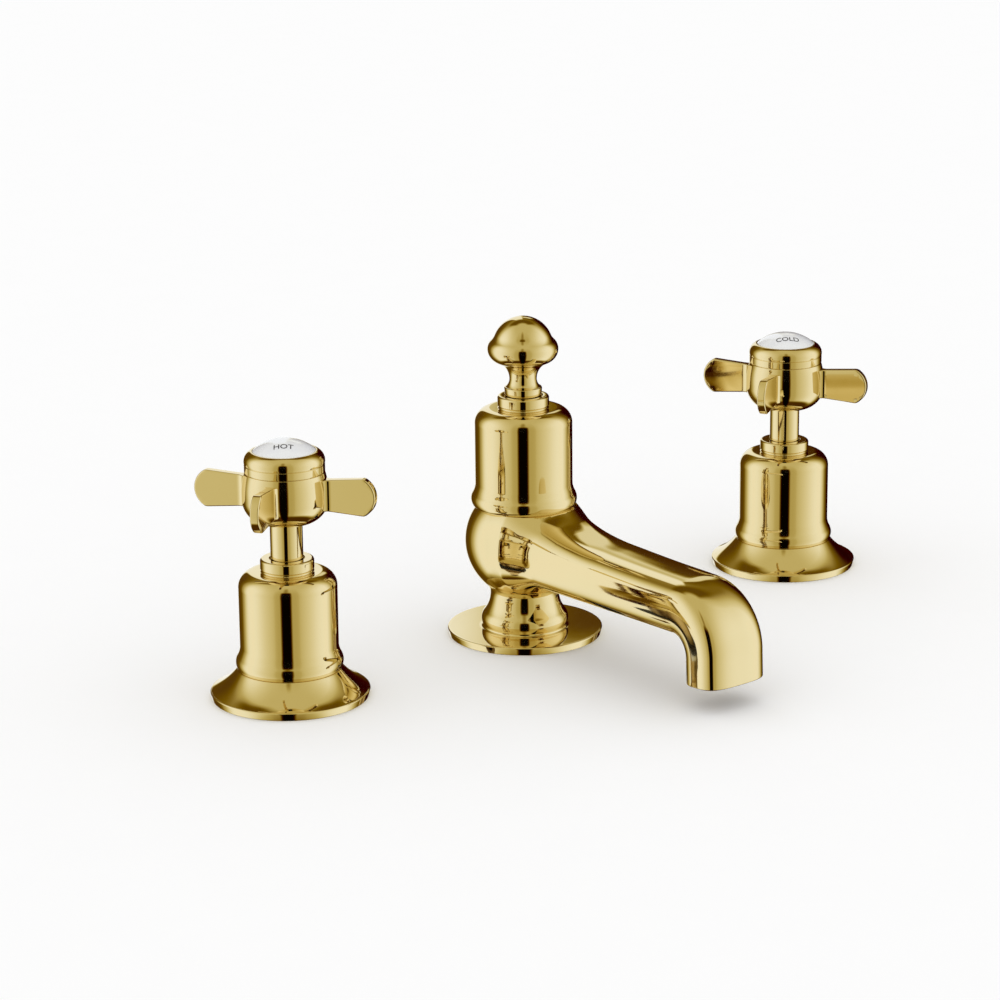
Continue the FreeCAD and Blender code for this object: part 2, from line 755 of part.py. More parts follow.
def spout_ways():
    """Hollows of the casting: shank socket, globe bore, gland socket, arm bore, bend and nozzle bore."""
    way_radius = arm_way_diameter / 2
    back = FreeCAD.Vector(0, -1, 0)
    ring = Part.makeCircle(way_radius, FreeCAD.Vector(0, -arm_run, arm_level), back)
    pivot = FreeCAD.Vector(0, -arm_run, arm_level - bend_round)
    return [
        rod(shank_radius + thread_clearance, -cut_overrun, shank_socket_depth),
        rod(globe_way_diameter / 2, 0, bell_seat_level),
        rod(union_radius + thread_clearance, bell_seat_level - gland_thread_length,
            bell_seat_level + cut_overrun),
        Part.makeCylinder(way_radius, arm_run, FreeCAD.Vector(0, 0, arm_level), back),
        Part.Face(Part.Wire(ring)).revolve(pivot, FreeCAD.Vector(1, 0, 0), bend_angle),
        Part.makeCylinder(nozzle_way_diameter / 2, nozzle_length + cut_overrun,
                          FreeCAD.Vector(0, *bend_point(bend_angle)), nozzle_direction()),
    ]


def spout_body():
    """The cast spout: globe and arm, softly blended, on the turned column and bored for the water."""
    globe = Part.makeSphere(globe_diameter / 2, FreeCAD.Vector(0, 0, globe_level))
    solid = globe.fuse(spout_arm())
    seams = [edge for edge in solid.Edges
             if edge.BoundBox.XLength > arm_width and edge.BoundBox.ZLength > arm_thickness
             and edge.BoundBox.YLength < arm_width / 2 and edge.BoundBox.YMax < 0]
    solid = solid.makeFillet(globe_blend_round, seams).fuse(spout_column())
    solid = solid.cut(block(2 * globe_diameter, 2 * globe_diameter, bell_seat_level, spout_bell_top))
    solid = solid.cut(seal_groove(spout_flange_diameter / 2))
    for way in spout_ways():
        solid = solid.cut(way)
    return solid


def spout_shank():
    """Threaded tube that holds the spout down and brings the water up."""
    return pipe(shank_radius, shank_way_diameter / 2, -spout_shank_drop, shank_socket_depth)


def inlet_tee():
    """Two-way connector screwed on the shank, with a hole below for the guide tube."""
    foot = -spout_shank_drop - tee_height
    axis = (foot + tee_floor - spout_shank_drop) / 2
    middle = FreeCAD.Vector(0, 0, axis)
    top = -spout_shank_drop + tee_thread_length
    solid = rod(tee_diameter / 2, foot, top)
    for side in (-1, 1):
        sideways = FreeCAD.Vector(side, 0, 0)
        solid = solid.fuse(Part.makeCylinder(union_radius, tee_reach, middle, sideways))
    solid = solid.cut(rod(shank_radius + thread_clearance, -spout_shank_drop - tee_seal_height,
                          top + cut_overrun))
    solid = solid.cut(rod(shank_way_diameter / 2, foot + tee_floor, -spout_shank_drop))
    solid = solid.cut(rod(guide_diameter / 2 + running_clearance, foot - cut_overrun, foot + tee_floor))
    for side in (-1, 1):
        sideways = FreeCAD.Vector(side, 0, 0)
        solid = solid.cut(Part.makeCylinder(union_bore_diameter / 2, tee_reach + cut_overrun, middle,
                                            sideways))
    return solid


def tee_seal():
    """Flat rubber seal between shank and tee."""
    return pipe(shank_radius, shank_way_diameter / 2, -spout_shank_drop - tee_seal_height, -spout_shank_drop)


def gland_seal_levels():
    """Middle heights of the two O-rings on the lift rod inside the gland."""
    first = bell_seat_level + gland_hex_height + rod_travel
    return first, first + seal_spacing


def rod_gland():
    """Gland on the globe: thread, hexagon and a tall neck that the collar screws on."""
    hex_top = bell_seat_level + gland_hex_height
    foot = bell_seat_level - gland_thread_length
    solid = rod(union_radius, foot, bell_seat_level)
    solid = solid.fuse(hexagon(housing_hex_flats, bell_seat_level, hex_top))
    solid = solid.fuse(rod(housing_neck_diameter / 2, hex_top, gland_top))
    solid = solid.cut(rod(guide_diameter / 2 + running_clearance, foot - cut_overrun, hex_top))
    return solid.cut(rod(rod_diameter / 2 + running_clearance, hex_top, gland_top + cut_overrun))


def rod_guide():
    """Tube from the gland down through the waterway and the tee, round the lift rod."""
    foot = -spout_shank_drop - tee_height
    bore_radius = guide_diameter / 2 - guide_wall
    return pipe(guide_diameter / 2, bore_radius, foot, bell_seat_level + gland_hex_height)


def lift_rod():
    """Rod from the knob down through the gland and the guide."""
    foot = -spout_shank_drop - tee_height - rod_tail
    top = spout_collar_top + knob_skirt_height + knob_rod_depth
    solid = rod(rod_diameter / 2, foot, top)
    for level in gland_seal_levels():
        solid = solid.cut(pipe(rod_diameter, rod_diameter / 2 - seal_section,
                               level - seal_groove_width / 2, level + seal_groove_width / 2))
    return solid


def lift_knob():
    """Turned knob: skirt sunk in the collar, waist, wide bulge and a dome over a soft cove."""
    base = spout_collar_top
    foot = gland_top + loose_clearance
    rim = base + knob_skirt_height
    skirt = knob_skirt_diameter / 2
    neck_radius = knob_neck_diameter / 2
    neck = base + knob_neck_rise
    bulge = knob_bulge_diameter / 2
    bulge_level = base + knob_bulge_rise
    lower = (bulge - knob_bulge_foot_round, bulge_level)
    upper = (bulge - knob_bulge_top_round, bulge_level)
    dome_round = knob_dome_diameter / 2
    dome = (0, base + knob_height - dome_round)
    rise = bulge_level - neck
    run = lower[0] - neck_radius
    waist_round = (knob_bulge_foot_round ** 2 - run ** 2 - rise ** 2) / (-2 * (run + knob_bulge_foot_round))
    waist = (neck_radius + waist_round, neck)
    waist_end = between(waist, lower, waist_round)
    cove = cove_centre(upper, knob_bulge_top_round, dome, dome_round, knob_cove_round)
    cove_start = between(cove, upper, knob_cove_round)
    cove_end = between(cove, dome, knob_cove_round)
    hole = rod_diameter / 2 + thread_clearance
    collar_run = skirt - knob_rim_round - neck_radius
    hollow = ((neck - rim) ** 2 + collar_run ** 2) / (2 * collar_run)
    outline = HalfSection(hole, foot)
    outline.line(knob_skirt_foot_diameter / 2, foot)
    outline.line(skirt, rim - knob_rim_round)
    outline.arc(skirt - knob_rim_round, rim, skirt - knob_rim_round, rim - knob_rim_round)
    outline.arc(neck_radius, neck, neck_radius + hollow, neck)
    outline.arc(waist_end[0], waist_end[1], waist[0], waist[1])
    outline.arc(bulge, bulge_level, lower[0], lower[1])
    outline.arc(cove_start[0], cove_start[1], upper[0], upper[1])
    outline.arc(cove_end[0], cove_end[1], cove[0], cove[1])
    outline.arc(0, base + knob_height, dome[0], dome[1])
    outline.line(0, rim + knob_rod_depth)
    outline.line(hole, rim + knob_rod_depth)
    return outline.turned()


def spout_unit():
    """All pieces of the spout, on the Z axis."""
    neck_hole = housing_neck_diameter / 2 + loose_clearance
    clamping = clamping_set(spout_flange_diameter / 2, shank_radius + loose_clearance)
    pieces = {"spout_" + name: shape for name, shape in clamping.items()}
    pieces["spout_body"] = spout_body()
    pieces["spout_shank"] = spout_shank()
    pieces["inlet_tee"] = inlet_tee()
    pieces["tee_seal"] = tee_seal()
    pieces["rod_gland"] = rod_gland()
    pieces["rod_guide"] = rod_guide()
    pieces["spout_bell"] = bell_cover(spout_bell_diameter / 2, bell_seat_level, spout_bell_height, neck_hole)
    pieces["spout_collar"] = collar_ring(spout_bell_top, knob_skirt_diameter / 2 + loose_clearance)
    pieces["rod_seals"] = o_rings(rod_diameter / 2, gland_seal_levels())
    pieces["lift_rod"] = lift_rod()
    pieces["lift_knob"] = lift_knob()
    return pieces


def save(name, shape):
    """Write one piece to its own file."""
    shape.exportStep(os.path.join("parts", name + ".step"))
    print(name, len(shape.Solids), shape.isValid(), round(shape.Volume, 1))


os.makedirs("parts", exist_ok=True)
for prefix, place, towards_spout, rest_angle in (
    ("hot_", -hot_valve_offset, 1, hot_handle_rest_angle),
    ("cold_", cold_valve_offset, -1, cold_handle_rest_angle),
):
    for name, shape in valve_unit(towards_spout, rest_angle).items():
        shape.translate(FreeCAD.Vector(place, 0, 0))
        save(prefix + name, shape)
for name, shape in spout_unit().items():
    save(name, shape)
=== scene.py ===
# %% [markdown]
# # A bath filler in polished brass
# The real object is a set of three brass fittings on a bath rim: a hot valve and a cold valve with
# cross handles, and a low spout with a lift knob. The imported CAD model gives every piece its place,
# so this lesson only dresses it: smooth surfaces where the brass is polished like a mirror, and a
# finish for each metal, rubber and ceramic. The first cell loads the model and keeps its pieces and record.

# %% Load the imported model
import json
import math

import bmesh
import bpy
import numpy as np
from mathutils import Matrix, Vector


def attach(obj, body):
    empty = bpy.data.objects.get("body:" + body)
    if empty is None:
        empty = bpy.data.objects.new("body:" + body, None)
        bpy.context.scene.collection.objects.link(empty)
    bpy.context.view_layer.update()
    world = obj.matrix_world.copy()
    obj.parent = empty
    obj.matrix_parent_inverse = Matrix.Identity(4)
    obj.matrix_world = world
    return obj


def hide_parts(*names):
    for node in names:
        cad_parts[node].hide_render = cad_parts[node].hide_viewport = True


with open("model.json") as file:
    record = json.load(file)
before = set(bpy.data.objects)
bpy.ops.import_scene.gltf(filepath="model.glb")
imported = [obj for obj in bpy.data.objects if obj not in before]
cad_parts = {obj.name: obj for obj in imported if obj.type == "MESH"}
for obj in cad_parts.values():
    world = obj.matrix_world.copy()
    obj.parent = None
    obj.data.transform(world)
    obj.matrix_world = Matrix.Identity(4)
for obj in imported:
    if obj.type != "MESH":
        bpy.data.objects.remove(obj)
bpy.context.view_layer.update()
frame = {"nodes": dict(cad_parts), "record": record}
nodes = frame["nodes"]

# %% [markdown]
# ## Camera
# The photograph looks down on the set from its left front, with a long lens. The camera could be
# dragged by eye, but here its direction is written as two angles and a small roll, which a reader can
# change one at a time.

# %% Camera at the photograph's angle
CAMERA_AZIMUTH = math.radians(39.767)
CAMERA_ELEVATION = math.radians(15.815)
CAMERA_ROLL = math.radians(-0.557)
CAMERA_DISTANCE = 1.295415
CAMERA_LENS = 119.512
SENSOR_WIDTH = 36.0
CAMERA_AIM = Vector((-0.012236, 0.0, 0.056662))

forward = Vector((math.sin(CAMERA_AZIMUTH) * math.cos(CAMERA_ELEVATION),
                  math.cos(CAMERA_AZIMUTH) * math.cos(CAMERA_ELEVATION),
                  -math.sin(CAMERA_ELEVATION)))
level_right = Vector((math.cos(CAMERA_AZIMUTH), -math.sin(CAMERA_AZIMUTH), 0.0))
level_up = level_right.cross(forward)
right = math.cos(CAMERA_ROLL) * level_right + math.sin(CAMERA_ROLL) * level_up
up = math.cos(CAMERA_ROLL) * level_up - math.sin(CAMERA_ROLL) * level_right

camera = bpy.data.objects.new("camera", bpy.data.cameras.new("camera"))
camera.data.lens = CAMERA_LENS
camera.data.sensor_width = SENSOR_WIDTH
turn = Matrix((right, up, -forward)).transposed().to_4x4()
camera.matrix_world = Matrix.Translation(CAMERA_AIM - CAMERA_DISTANCE * forward) @ turn
scene = bpy.context.scene
scene.collection.objects.link(camera)
scene.camera = camera
scene.view_settings.view_transform = "Standard"
print("camera at", [round(v, 3) for v in camera.matrix_world.translation])

# %% [markdown]
# ## Nodes without the mouse
# Every finish below is a small graph of shader nodes. In the editor each would be added and wired
# by hand. One helper does the same in a line.


# %% A helper that adds one node
def add(tree, kind, options=None, values=(), **sockets):
    """Adds a node: options are its settings, values fill its sockets in order and sockets by name
    (an underscore stands for a space). A value that is a socket is linked, any other is written."""
    made = tree.nodes.new(kind)
    for key, value in (options or {}).items():
        setattr(made, key, value)
    pairs = [(made.inputs[place], value) for place, value in enumerate(values)]
    pairs += [(made.inputs[key.replace("_", " ")], value) for key, value in sockets.items()]
    for socket, value in pairs:
        if isinstance(value, bpy.types.NodeSocket):
            tree.links.new(value, socket)
        else:
            socket.default_value = value
    return made


def calculate(tree, operation, *values):
    """One Math node's result."""
    return add(tree, "ShaderNodeMath", {"operation": operation}, values).outputs[0]


print("node helper ready")

# %% [markdown]
# ## Studio light
# Polished brass has hardly any look of its own: it shows the room. In the photograph that room reads
# as a ring of white cloth that is brightest at the sides, ends in brown dusk behind the tap and is
# dimmer overhead. The camera looks in through a black slit. Such cloths could be lamps, but each would
# also light the floor. Here they are soft-edged tones in the world, and only mirror-like surfaces see
# them. First comes the direction in which a mirror looks, as a bearing and a height in degrees.

# %% Directions in the room
world = bpy.data.worlds.new("studio")
scene.world = world
world.use_nodes = True
sky = world.node_tree
sky.nodes.clear()
looking = add(sky, "ShaderNodeTexCoord").outputs["Generated"]
front = (-math.sin(CAMERA_AZIMUTH), -math.cos(CAMERA_AZIMUTH), 0.0)


def along(direction):
    """How far the looking direction goes along another."""
    made = add(sky, "ShaderNodeVectorMath", {"operation": "DOT_PRODUCT"}, (looking, direction))
    return made.outputs["Value"]


sideways = calculate(sky, "ARCTAN2", along(tuple(level_right)), along(front))
bearing = calculate(sky, "DEGREES", sideways)
height = calculate(sky, "DEGREES", calculate(sky, "ARCSINE", along((0.0, 0.0, 1.0))))
print("a mirror's direction takes", len(sky.nodes), "nodes")

# %% [markdown]
# ## Cloths with soft edges
# A cloth has one tone and hangs between two bearings and two heights. A painted picture of the room
# could hold them all, but a few nodes for each cloth keep its edges soft and its numbers easy to change.


# %% Ramps and cloths
def shaded(share, stops):
    """A colour ramp through (place, colour) stops, drawn as one smooth curve."""
    ramp = add(sky, "ShaderNodeValToRGB", Fac=share)
    ramp.color_ramp.interpolation = "CARDINAL"
    for index, (stop, colour) in enumerate(stops):
        mark = ramp.color_ramp.elements[index] if index < 2 else ramp.color_ramp.elements.new(stop)
        mark.position = stop
        mark.color = (*colour, 1.0)
    return ramp.outputs["Color"]


def near(distance, half, edge):
    """1 within half of a middle, 0 outside, with a smooth edge of the given width."""
    made = add(sky, "ShaderNodeMapRange", {"interpolation_type": "SMOOTHSTEP"}, Value=distance,
               From_Min=half - edge / 2, From_Max=half + edge / 2, To_Min=1.0, To_Max=0.0)
    return made.outputs["Result"]


def cloth(room, tone, bearings, heights, edge, height_edge):
    """Hangs a soft-edged cloth of one tone over the room, between two bearings and two heights."""
    middle = sum(bearings) / 2
    turned_off = calculate(sky, "WRAP", calculate(sky, "SUBTRACT", bearing, middle), 180.0, -180.0)
    beside = near(calculate(sky, "ABSOLUTE", turned_off), (bearings[1] - bearings[0]) / 2, edge)
    above = calculate(sky, "ABSOLUTE", calculate(sky, "SUBTRACT", height, sum(heights) / 2))
    share = calculate(sky, "MULTIPLY", beside, near(above, (heights[1] - heights[0]) / 2, height_edge))
    return add(sky, "ShaderNodeMix", {"data_type": "FLOAT"}, Factor=share, A=room, B=tone).outputs[0]


print("cloths can be hung")

# %% [markdown]
# ## Tones of the room
# Along the ring, stops of bearing and tone make one smooth curve. The cloths then hang over it in turn:
# each has a name, a tone, its bearings, its heights and the widths of its soft edges. Tones become
# colours last, from brown dusk to a cool white. All that isn't a mirror gets an even white sky at
# strength 1, at which colours come out as they are written.

# %% The room and the sky
RING_TONES = (
    (-180, 0.3), (-140, 0.25), (-126, 0.45), (-108, 0.85), (-90, 1.0), (-60, 0.84), (-30, 0.68), (-20, 0.6),
    (20, 0.6), (30, 0.67), (65, 0.85), (97, 1.0), (106, 0.94), (124, 0.55), (144, 0.16), (168, 0.15),
    (180, 0.24),
)
OVERHEAD_TONE, OVERHEAD_FROM, OVERHEAD_TO = 0.67, 14.0, 74.0
CLOTHS = (
    ("seam overhead", 0.28, (132, 236), (48, 70), 24, 14),
    ("back left", 0.97, (-180, -163), (-28, 44), 4, 12),
    ("back right", 0.8, (166, 180), (20, 32), 7, 4),
    ("below the deck", 0.2, (-180, 180), (-110, -50), 2, 14),
    ("slit above the camera", 0.45, (-8, 4), (20, 62), 10, 20),
    ("slit of the camera", 0.0, (-13, 10), (-120, 33), 8, 16),
)
ROOM_TONES = (
    (0.0, (0.002, 0.001, 0.0)),
    (0.2, (0.07, 0.026, 0.001)),
    (0.45, (0.30, 0.22, 0.055)),
    (0.7, (0.66, 0.60, 0.36)),
    (1.0, (1.0, 1.02, 1.05)),
)
ring_place = calculate(sky, "MULTIPLY_ADD", bearing, 1 / 360, 0.5)
ring_tone = shaded(ring_place, [(stop / 360 + 0.5, (tone,) * 3) for stop, tone in RING_TONES])
risen = add(sky, "ShaderNodeMapRange", {"interpolation_type": "SMOOTHSTEP"}, Value=height,
            From_Min=OVERHEAD_FROM, From_Max=OVERHEAD_TO).outputs["Result"]
room = add(sky, "ShaderNodeMix", {"data_type": "FLOAT"}, Factor=risen, A=ring_tone,
           B=OVERHEAD_TONE).outputs[0]
for name, *measures in CLOTHS:
    room = cloth(room, *measures)
    print("hung", name)
mirrored = add(sky, "ShaderNodeBackground", Color=shaded(room, ROOM_TONES), Strength=1.0)
even = add(sky, "ShaderNodeBackground", Color=(1.0, 1.0, 1.0, 1.0), Strength=1.0)
rays = add(sky, "ShaderNodeLightPath")
either = add(sky, "ShaderNodeMixShader", None,
             (rays.outputs["Is Glossy Ray"], even.outputs[0], mirrored.outputs[0]))
add(sky, "ShaderNodeOutputWorld", Surface=either.outputs[0])
print("studio has", len(sky.nodes), "nodes")

# %% [markdown]
# ## From a grid of points to a mesh
# All new pieces are surfaces on a grid: rows one way, columns the other, and each four neighbours a
# face. Blender's Spin tool could turn the round ones, but a grid of numpy points is quicker to
# change, and the same helper serves the spout and the paddles. Points that fall together, as at the
# tip of a dome, are merged, and the faces are made to point outwards.

# %% Grid to shell
MM = 0.001
MERGE_DISTANCE = 0.0005


def shell(grid, close_rows=True):
    """A grid of points in millimetres as a bmesh in metres: rows by columns, where the columns wrap
    round and the rows do too if asked. Neighbouring points make four-sided faces."""
    rows, columns = grid.shape[:2]
    index = np.arange(rows * columns).reshape(rows, columns)
    index = np.hstack([index, index[:, :1]])
    if close_rows:
        index = np.vstack([index, index[:1]])
    quads = np.stack([index[:-1, :-1], index[:-1, 1:], index[1:, 1:], index[1:, :-1]], axis=-1)
    mesh = bpy.data.meshes.new("grid")
    mesh.from_pydata((grid.reshape(-1, 3) * MM).tolist(), [], quads.reshape(-1, 4).tolist())
    made = bmesh.new()
    made.from_mesh(mesh)
    bpy.data.meshes.remove(mesh)
    bmesh.ops.remove_doubles(made, verts=made.verts, dist=MERGE_DISTANCE * MM)
    bmesh.ops.recalc_face_normals(made, faces=made.faces)
    return made


print("points within", MERGE_DISTANCE, "mm become one")

# %% [markdown]
# ## From shells to a piece
# A piece may be several closed shells, such as a hub and its paddles. A join in the editor would do it
# by hand. Here one helper joins, shades and ties every piece to the CAD body that it moves with. It
# finds the piece's material by name among the finishes, which follow below.

# %% Shells to piece
SHARP_ANGLE = math.radians(35)
finishes = {}


def finish_piece(name, shells, body, node, slot="polished_brass"):
    """Puts one or more closed shells into an object, shades it, ties it to its CAD body and lets it
    stand for one CAD node."""
    mesh = bpy.data.meshes.new(name)
    whole = bmesh.new()
    for part in shells:
        part.to_mesh(mesh)
        part.free()
        whole.from_mesh(mesh)
    whole.to_mesh(mesh)
    whole.free()
    mesh.shade_smooth()
    mesh.set_sharp_from_angle(angle=SHARP_ANGLE)
    piece = bpy.data.objects.new(name, mesh)
    scene.collection.objects.link(piece)
    weighted = piece.modifiers.new("even shading", "WEIGHTED_NORMAL")
    weighted.keep_sharp = True
    mesh.materials.append(finishes[slot])
    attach(piece, body)
    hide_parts(node)
    print(name, len(mesh.polygons), "faces on", body)


print("edges stay sharp from", round(math.degrees(SHARP_ANGLE)), "degrees")

# %% [markdown]
# ## Outlines for the lathe
# Nearly every visible piece was turned on a lathe: one outline of radius and height, carried round
# an upright axis. The outline could be drawn as a curve by hand. Here it is written as a walk of
# straight runs, arcs and bows, where the last number of an arc or bow is its count of points.

# %% Arcs, bows and walks
REPEAT_GAP = 1e-6


def arc(start, end, centre, steps=18):
    """The shorter arc between two points round a centre, at evenly spaced angles."""
    start, end, centre = (np.asarray(p, float) for p in (start, end, centre))
    first = math.atan2(*(start - centre)[::-1])
    sweep = (math.atan2(*(end - centre)[::-1]) - first + math.pi) % (2 * math.pi) - math.pi
    angles = first + sweep * np.linspace(0, 1, steps)
    reach = np.linalg.norm(start - centre)
    return centre + reach * np.column_stack([np.cos(angles), np.sin(angles)])


def bow(start, end, bulge, steps=18):
    """An arc whose middle stands off the straight run by bulge, to the right of the walk."""
    start, end = np.asarray(start, float), np.asarray(end, float)
    run = end - start
    half = np.linalg.norm(run) / 2
    aside = np.array([run[1], -run[0]]) / (2 * half)
    reach = (half ** 2 - bulge ** 2) / (2 * bulge)
    return arc(start, end, (start + end) / 2 - aside * reach, steps)


def walk(*parts):
    """Joins points and arcs into one closed outline of (radius, height) and drops repeats."""
    outline = np.vstack([np.atleast_2d(np.asarray(part, float)) for part in parts])
    apart = np.linalg.norm(outline - np.roll(outline, 1, axis=0), axis=1)
    return outline[apart > REPEAT_GAP]


print("a quarter round has", len(arc((1, 0), (0, 1), (0, 0))), "points")

# %% [markdown]
# ## Soft edges, and the turn
# Real edges are never knife sharp, and a polished edge catches a thin line of light, so every sharp
# corner of an outline gets a tiny round. A Bevel modifier could do that on the mesh, but on the outline
# it is even all the way round. The eased outline is then carried round its axis.

# %% Ease and turn
AROUND = 160
SOFT_ANGLE = SHARP_ANGLE / 1.5
LONGEST_SHARE = 0.45


def eased(outline, edge=0.2, steps=5):
    """Swaps each sharp corner of a closed outline for an arc that touches both of its runs. A corner
    with runs a and b becomes the conic from P + at to P + bt with weight sin(angle / 2)."""
    back = np.roll(outline, 1, axis=0) - outline
    on = np.roll(outline, -1, axis=0) - outline
    back_length = np.linalg.norm(back, axis=1, keepdims=True)
    on_length = np.linalg.norm(on, axis=1, keepdims=True)
    back, on = back / back_length, on / on_length
    angle = np.arccos(np.clip(np.sum(back * on, axis=1, keepdims=True), -1, 1))
    reach = np.minimum(edge / np.tan(angle / 2), LONGEST_SHARE * np.minimum(back_length, on_length))
    reach = np.where(angle < math.pi - SOFT_ANGLE, reach, 0.0)[:, None]
    share = np.linspace(0, 1, steps)[None, :, None]
    weight = np.sin(angle / 2)[:, None]
    first, last, middle = (1 - share) ** 2, share ** 2, 2 * weight * share * (1 - share)
    corner = outline[:, None]
    arrives, leaves = corner + reach * back[:, None], corner + reach * on[:, None]
    round_corner = (first * arrives + middle * corner + last * leaves) / (first + middle + last)
    return walk(round_corner.reshape(-1, 2))


def turned(outline, centre=0.0, around=AROUND):
    """Carries an outline of radius r and height z round an upright axis: x = centre + r cos a,
    y = r sin a, z = z, for evenly spaced angles a."""
    angles = np.linspace(0, 2 * math.pi, around, endpoint=False)[:, None]
    radius, level = outline[:, 0], outline[:, 1]
    grid = np.stack([centre + np.cos(angles) * radius, np.sin(angles) * radius,
                     np.broadcast_to(level, (around, len(level)))], axis=-1)
    return shell(grid)


print("a turn has", AROUND, "steps")

# %% [markdown]
# ## What every finish shares
# No real surface is one even colour. Each finish below therefore mixes two close colours by noise, and
# most let finer noise change how rough they are and push the surface in and out a little. Painted
# pictures could do the same, but noise on Object coordinates needs no files and no unwrapping.

# %% Helpers for finishes
NOISE_LOW, NOISE_HIGH = 0.25, 0.75
MIX_FIRST, MIX_SECOND, MIX_RESULT = 6, 7, 2


def new_finish(name):
    """Keeps an empty material among the finishes and gives its Object coordinates."""
    made = finishes[name] = bpy.data.materials.new(name)
    made.use_nodes = True
    made.node_tree.nodes.clear()
    return add(made.node_tree, "ShaderNodeTexCoord").outputs["Object"]


def noise(place, scale, detail=3.0, stretch=(1.0, 1.0, 1.0)):
    """Noise on Object coordinates, stretched by a Mapping node. A socket's id_data is its node tree."""
    spread = add(place.id_data, "ShaderNodeMapping", Vector=place, Scale=stretch).outputs["Vector"]
    return add(place.id_data, "ShaderNodeTexNoise", Vector=spread, Scale=scale, Detail=detail).outputs["Fac"]


def between(share, low, high):
    """A number that follows noise from low to high."""
    made = add(share.id_data, "ShaderNodeMapRange", Value=share, From_Min=NOISE_LOW, From_Max=NOISE_HIGH,
               To_Min=low, To_Max=high)
    return made.outputs["Result"]


def tinted(share, first, second):
    """A colour between two, by a share. A Mix node has its colour sockets after those for numbers."""
    made = add(share.id_data, "ShaderNodeMix", {"data_type": "RGBA"}, Factor=share)
    made.inputs[MIX_FIRST].default_value = (*first, 1.0)
    made.inputs[MIX_SECOND].default_value = (*second, 1.0)
    return made.outputs[MIX_RESULT]


def bumped(share, strength, depth):
    """A normal pushed in and out by noise, depth in millimetres."""
    made = add(share.id_data, "ShaderNodeBump", Height=share, Strength=strength, Distance=depth * MM)
    return made.outputs["Normal"]


def sealed(place, **sockets):
    """The principled shader with its sockets, wired to the output."""
    shader = add(place.id_data, "ShaderNodeBsdfPrincipled", **sockets)
    add(place.id_data, "ShaderNodeOutputMaterial", Surface=shader.outputs[0])


print("finish helpers ready")

# %% [markdown]
# ## Polished brass
# The visible castings look polished and lacquered, not plated: warm yellow with a soft mirror. A plain
# metallic shader would look like a computer's mirror. Here the mirror's blur changes a little from spot
# to spot, and a very weak bump gives the waviness that a buffing wheel leaves.

# %% Finish: polished brass
place = new_finish("polished_brass")
sealed(place, Metallic=1.0,
       Base_Color=tinted(noise(place, 30.0), (0.83, 0.70, 0.39), (0.85, 0.73, 0.43)),
       Roughness=between(noise(place, 400.0), 0.035, 0.06),
       Normal=bumped(noise(place, 140.0, 2.0, (1.0, 1.0, 0.3)), 0.05, 0.05))
print("finishes", list(finishes))

# %% [markdown]
# ## Deck flanges of the valves
# Each valve stands on a round flange like a shallow dish turned upside down: an upright rim, a
# hollow slope and a flat seat for the bell. Underneath is a groove for a rubber seal. A cylinder with
# bevels could come close, but in an outline each radius and height has a name. One serves both sides.

# %% Valve flanges
HOT_X, COLD_X = -115.4, 143.1
SIDES = (("hot", HOT_X), ("cold", COLD_X))
FLANGE_R, FLANGE_TOP, RIM_TOP, EDGE_ROUND, FOOT_TUCK = 30.0, 11.4, 2.6, 0.5, 0.7
SHANK_HOLE, SEAT_R, DISH_SAG = 13.3, 19.65, 0.8
SEAL_INSET, SEAL_WIDTH, SEAL_DEPTH, LOOSE = 4.0, 5.0, 2.0, 0.3


def flange_foot(radius):
    """The flat underside from the shank hole to the rim, with the seal's groove."""
    outer = radius - SEAL_INSET + LOOSE
    inner = radius - SEAL_INSET - SEAL_WIDTH - LOOSE
    return [(SHANK_HOLE, 0), (inner, 0), (inner, SEAL_DEPTH), (outer, SEAL_DEPTH), (outer, 0),
            (radius - FOOT_TUCK, 0)]


def flange_rim(radius):
    """The upright rim and its rounded top edge."""
    inset = radius - EDGE_ROUND
    return arc((radius, RIM_TOP), (inset, RIM_TOP + EDGE_ROUND), (inset, RIM_TOP), 8)


dish = bow((FLANGE_R - EDGE_ROUND, RIM_TOP + EDGE_ROUND), (SEAT_R, FLANGE_TOP), -DISH_SAG, 24)
valve_flange = eased(walk(flange_foot(FLANGE_R), flange_rim(FLANGE_R), dish, (SHANK_HOLE, FLANGE_TOP)))
for side, x in SIDES:
    finish_piece(f"{side}_flange", [turned(valve_flange, x)], "deck_set", f"{side}_deck_flange")

# %% [markdown]
# ## Bell covers
# A thin brass bell hides each valve and the knob's gland. From its foot up it has a rounded lip, a
# soft hollow, a straight wall and a rounded shoulder. A free curve could come close, but here lip and
# hollow are two arcs that touch, so light runs over them without a break.

# %% Bells
BELL_WALL, LIP_STAND, LIP_ROUND, LIP_RISE, COVE_RISE, SHOULDER = 1.8, 1.7, 4.5, 2.6, 6.5, 6.0
BELL_HOLE = 8.3


def lip_and_cove(wall, lip, lip_round, lip_level, cove_level, foot_rise):
    """A rounded lip from its foot, then a hollow arc that touches it and the upright wall."""
    lip_middle = np.array([lip - lip_round, lip_level])
    reach, rise = wall - lip_middle[0], cove_level - lip_level
    cove_round = (reach ** 2 + rise ** 2 - lip_round ** 2) / (lip_round - reach) / 2
    cove_middle = np.array([wall + cove_round, cove_level])
    touch = lip_middle + (cove_middle - lip_middle) * lip_round / (lip_round + cove_round)
    foot = (lip_middle[0] + math.sqrt(lip_round ** 2 - foot_rise ** 2), lip_level - foot_rise)
    return np.vstack([arc(foot, touch, lip_middle), arc(touch, (wall, cove_level), cove_middle, 24)])


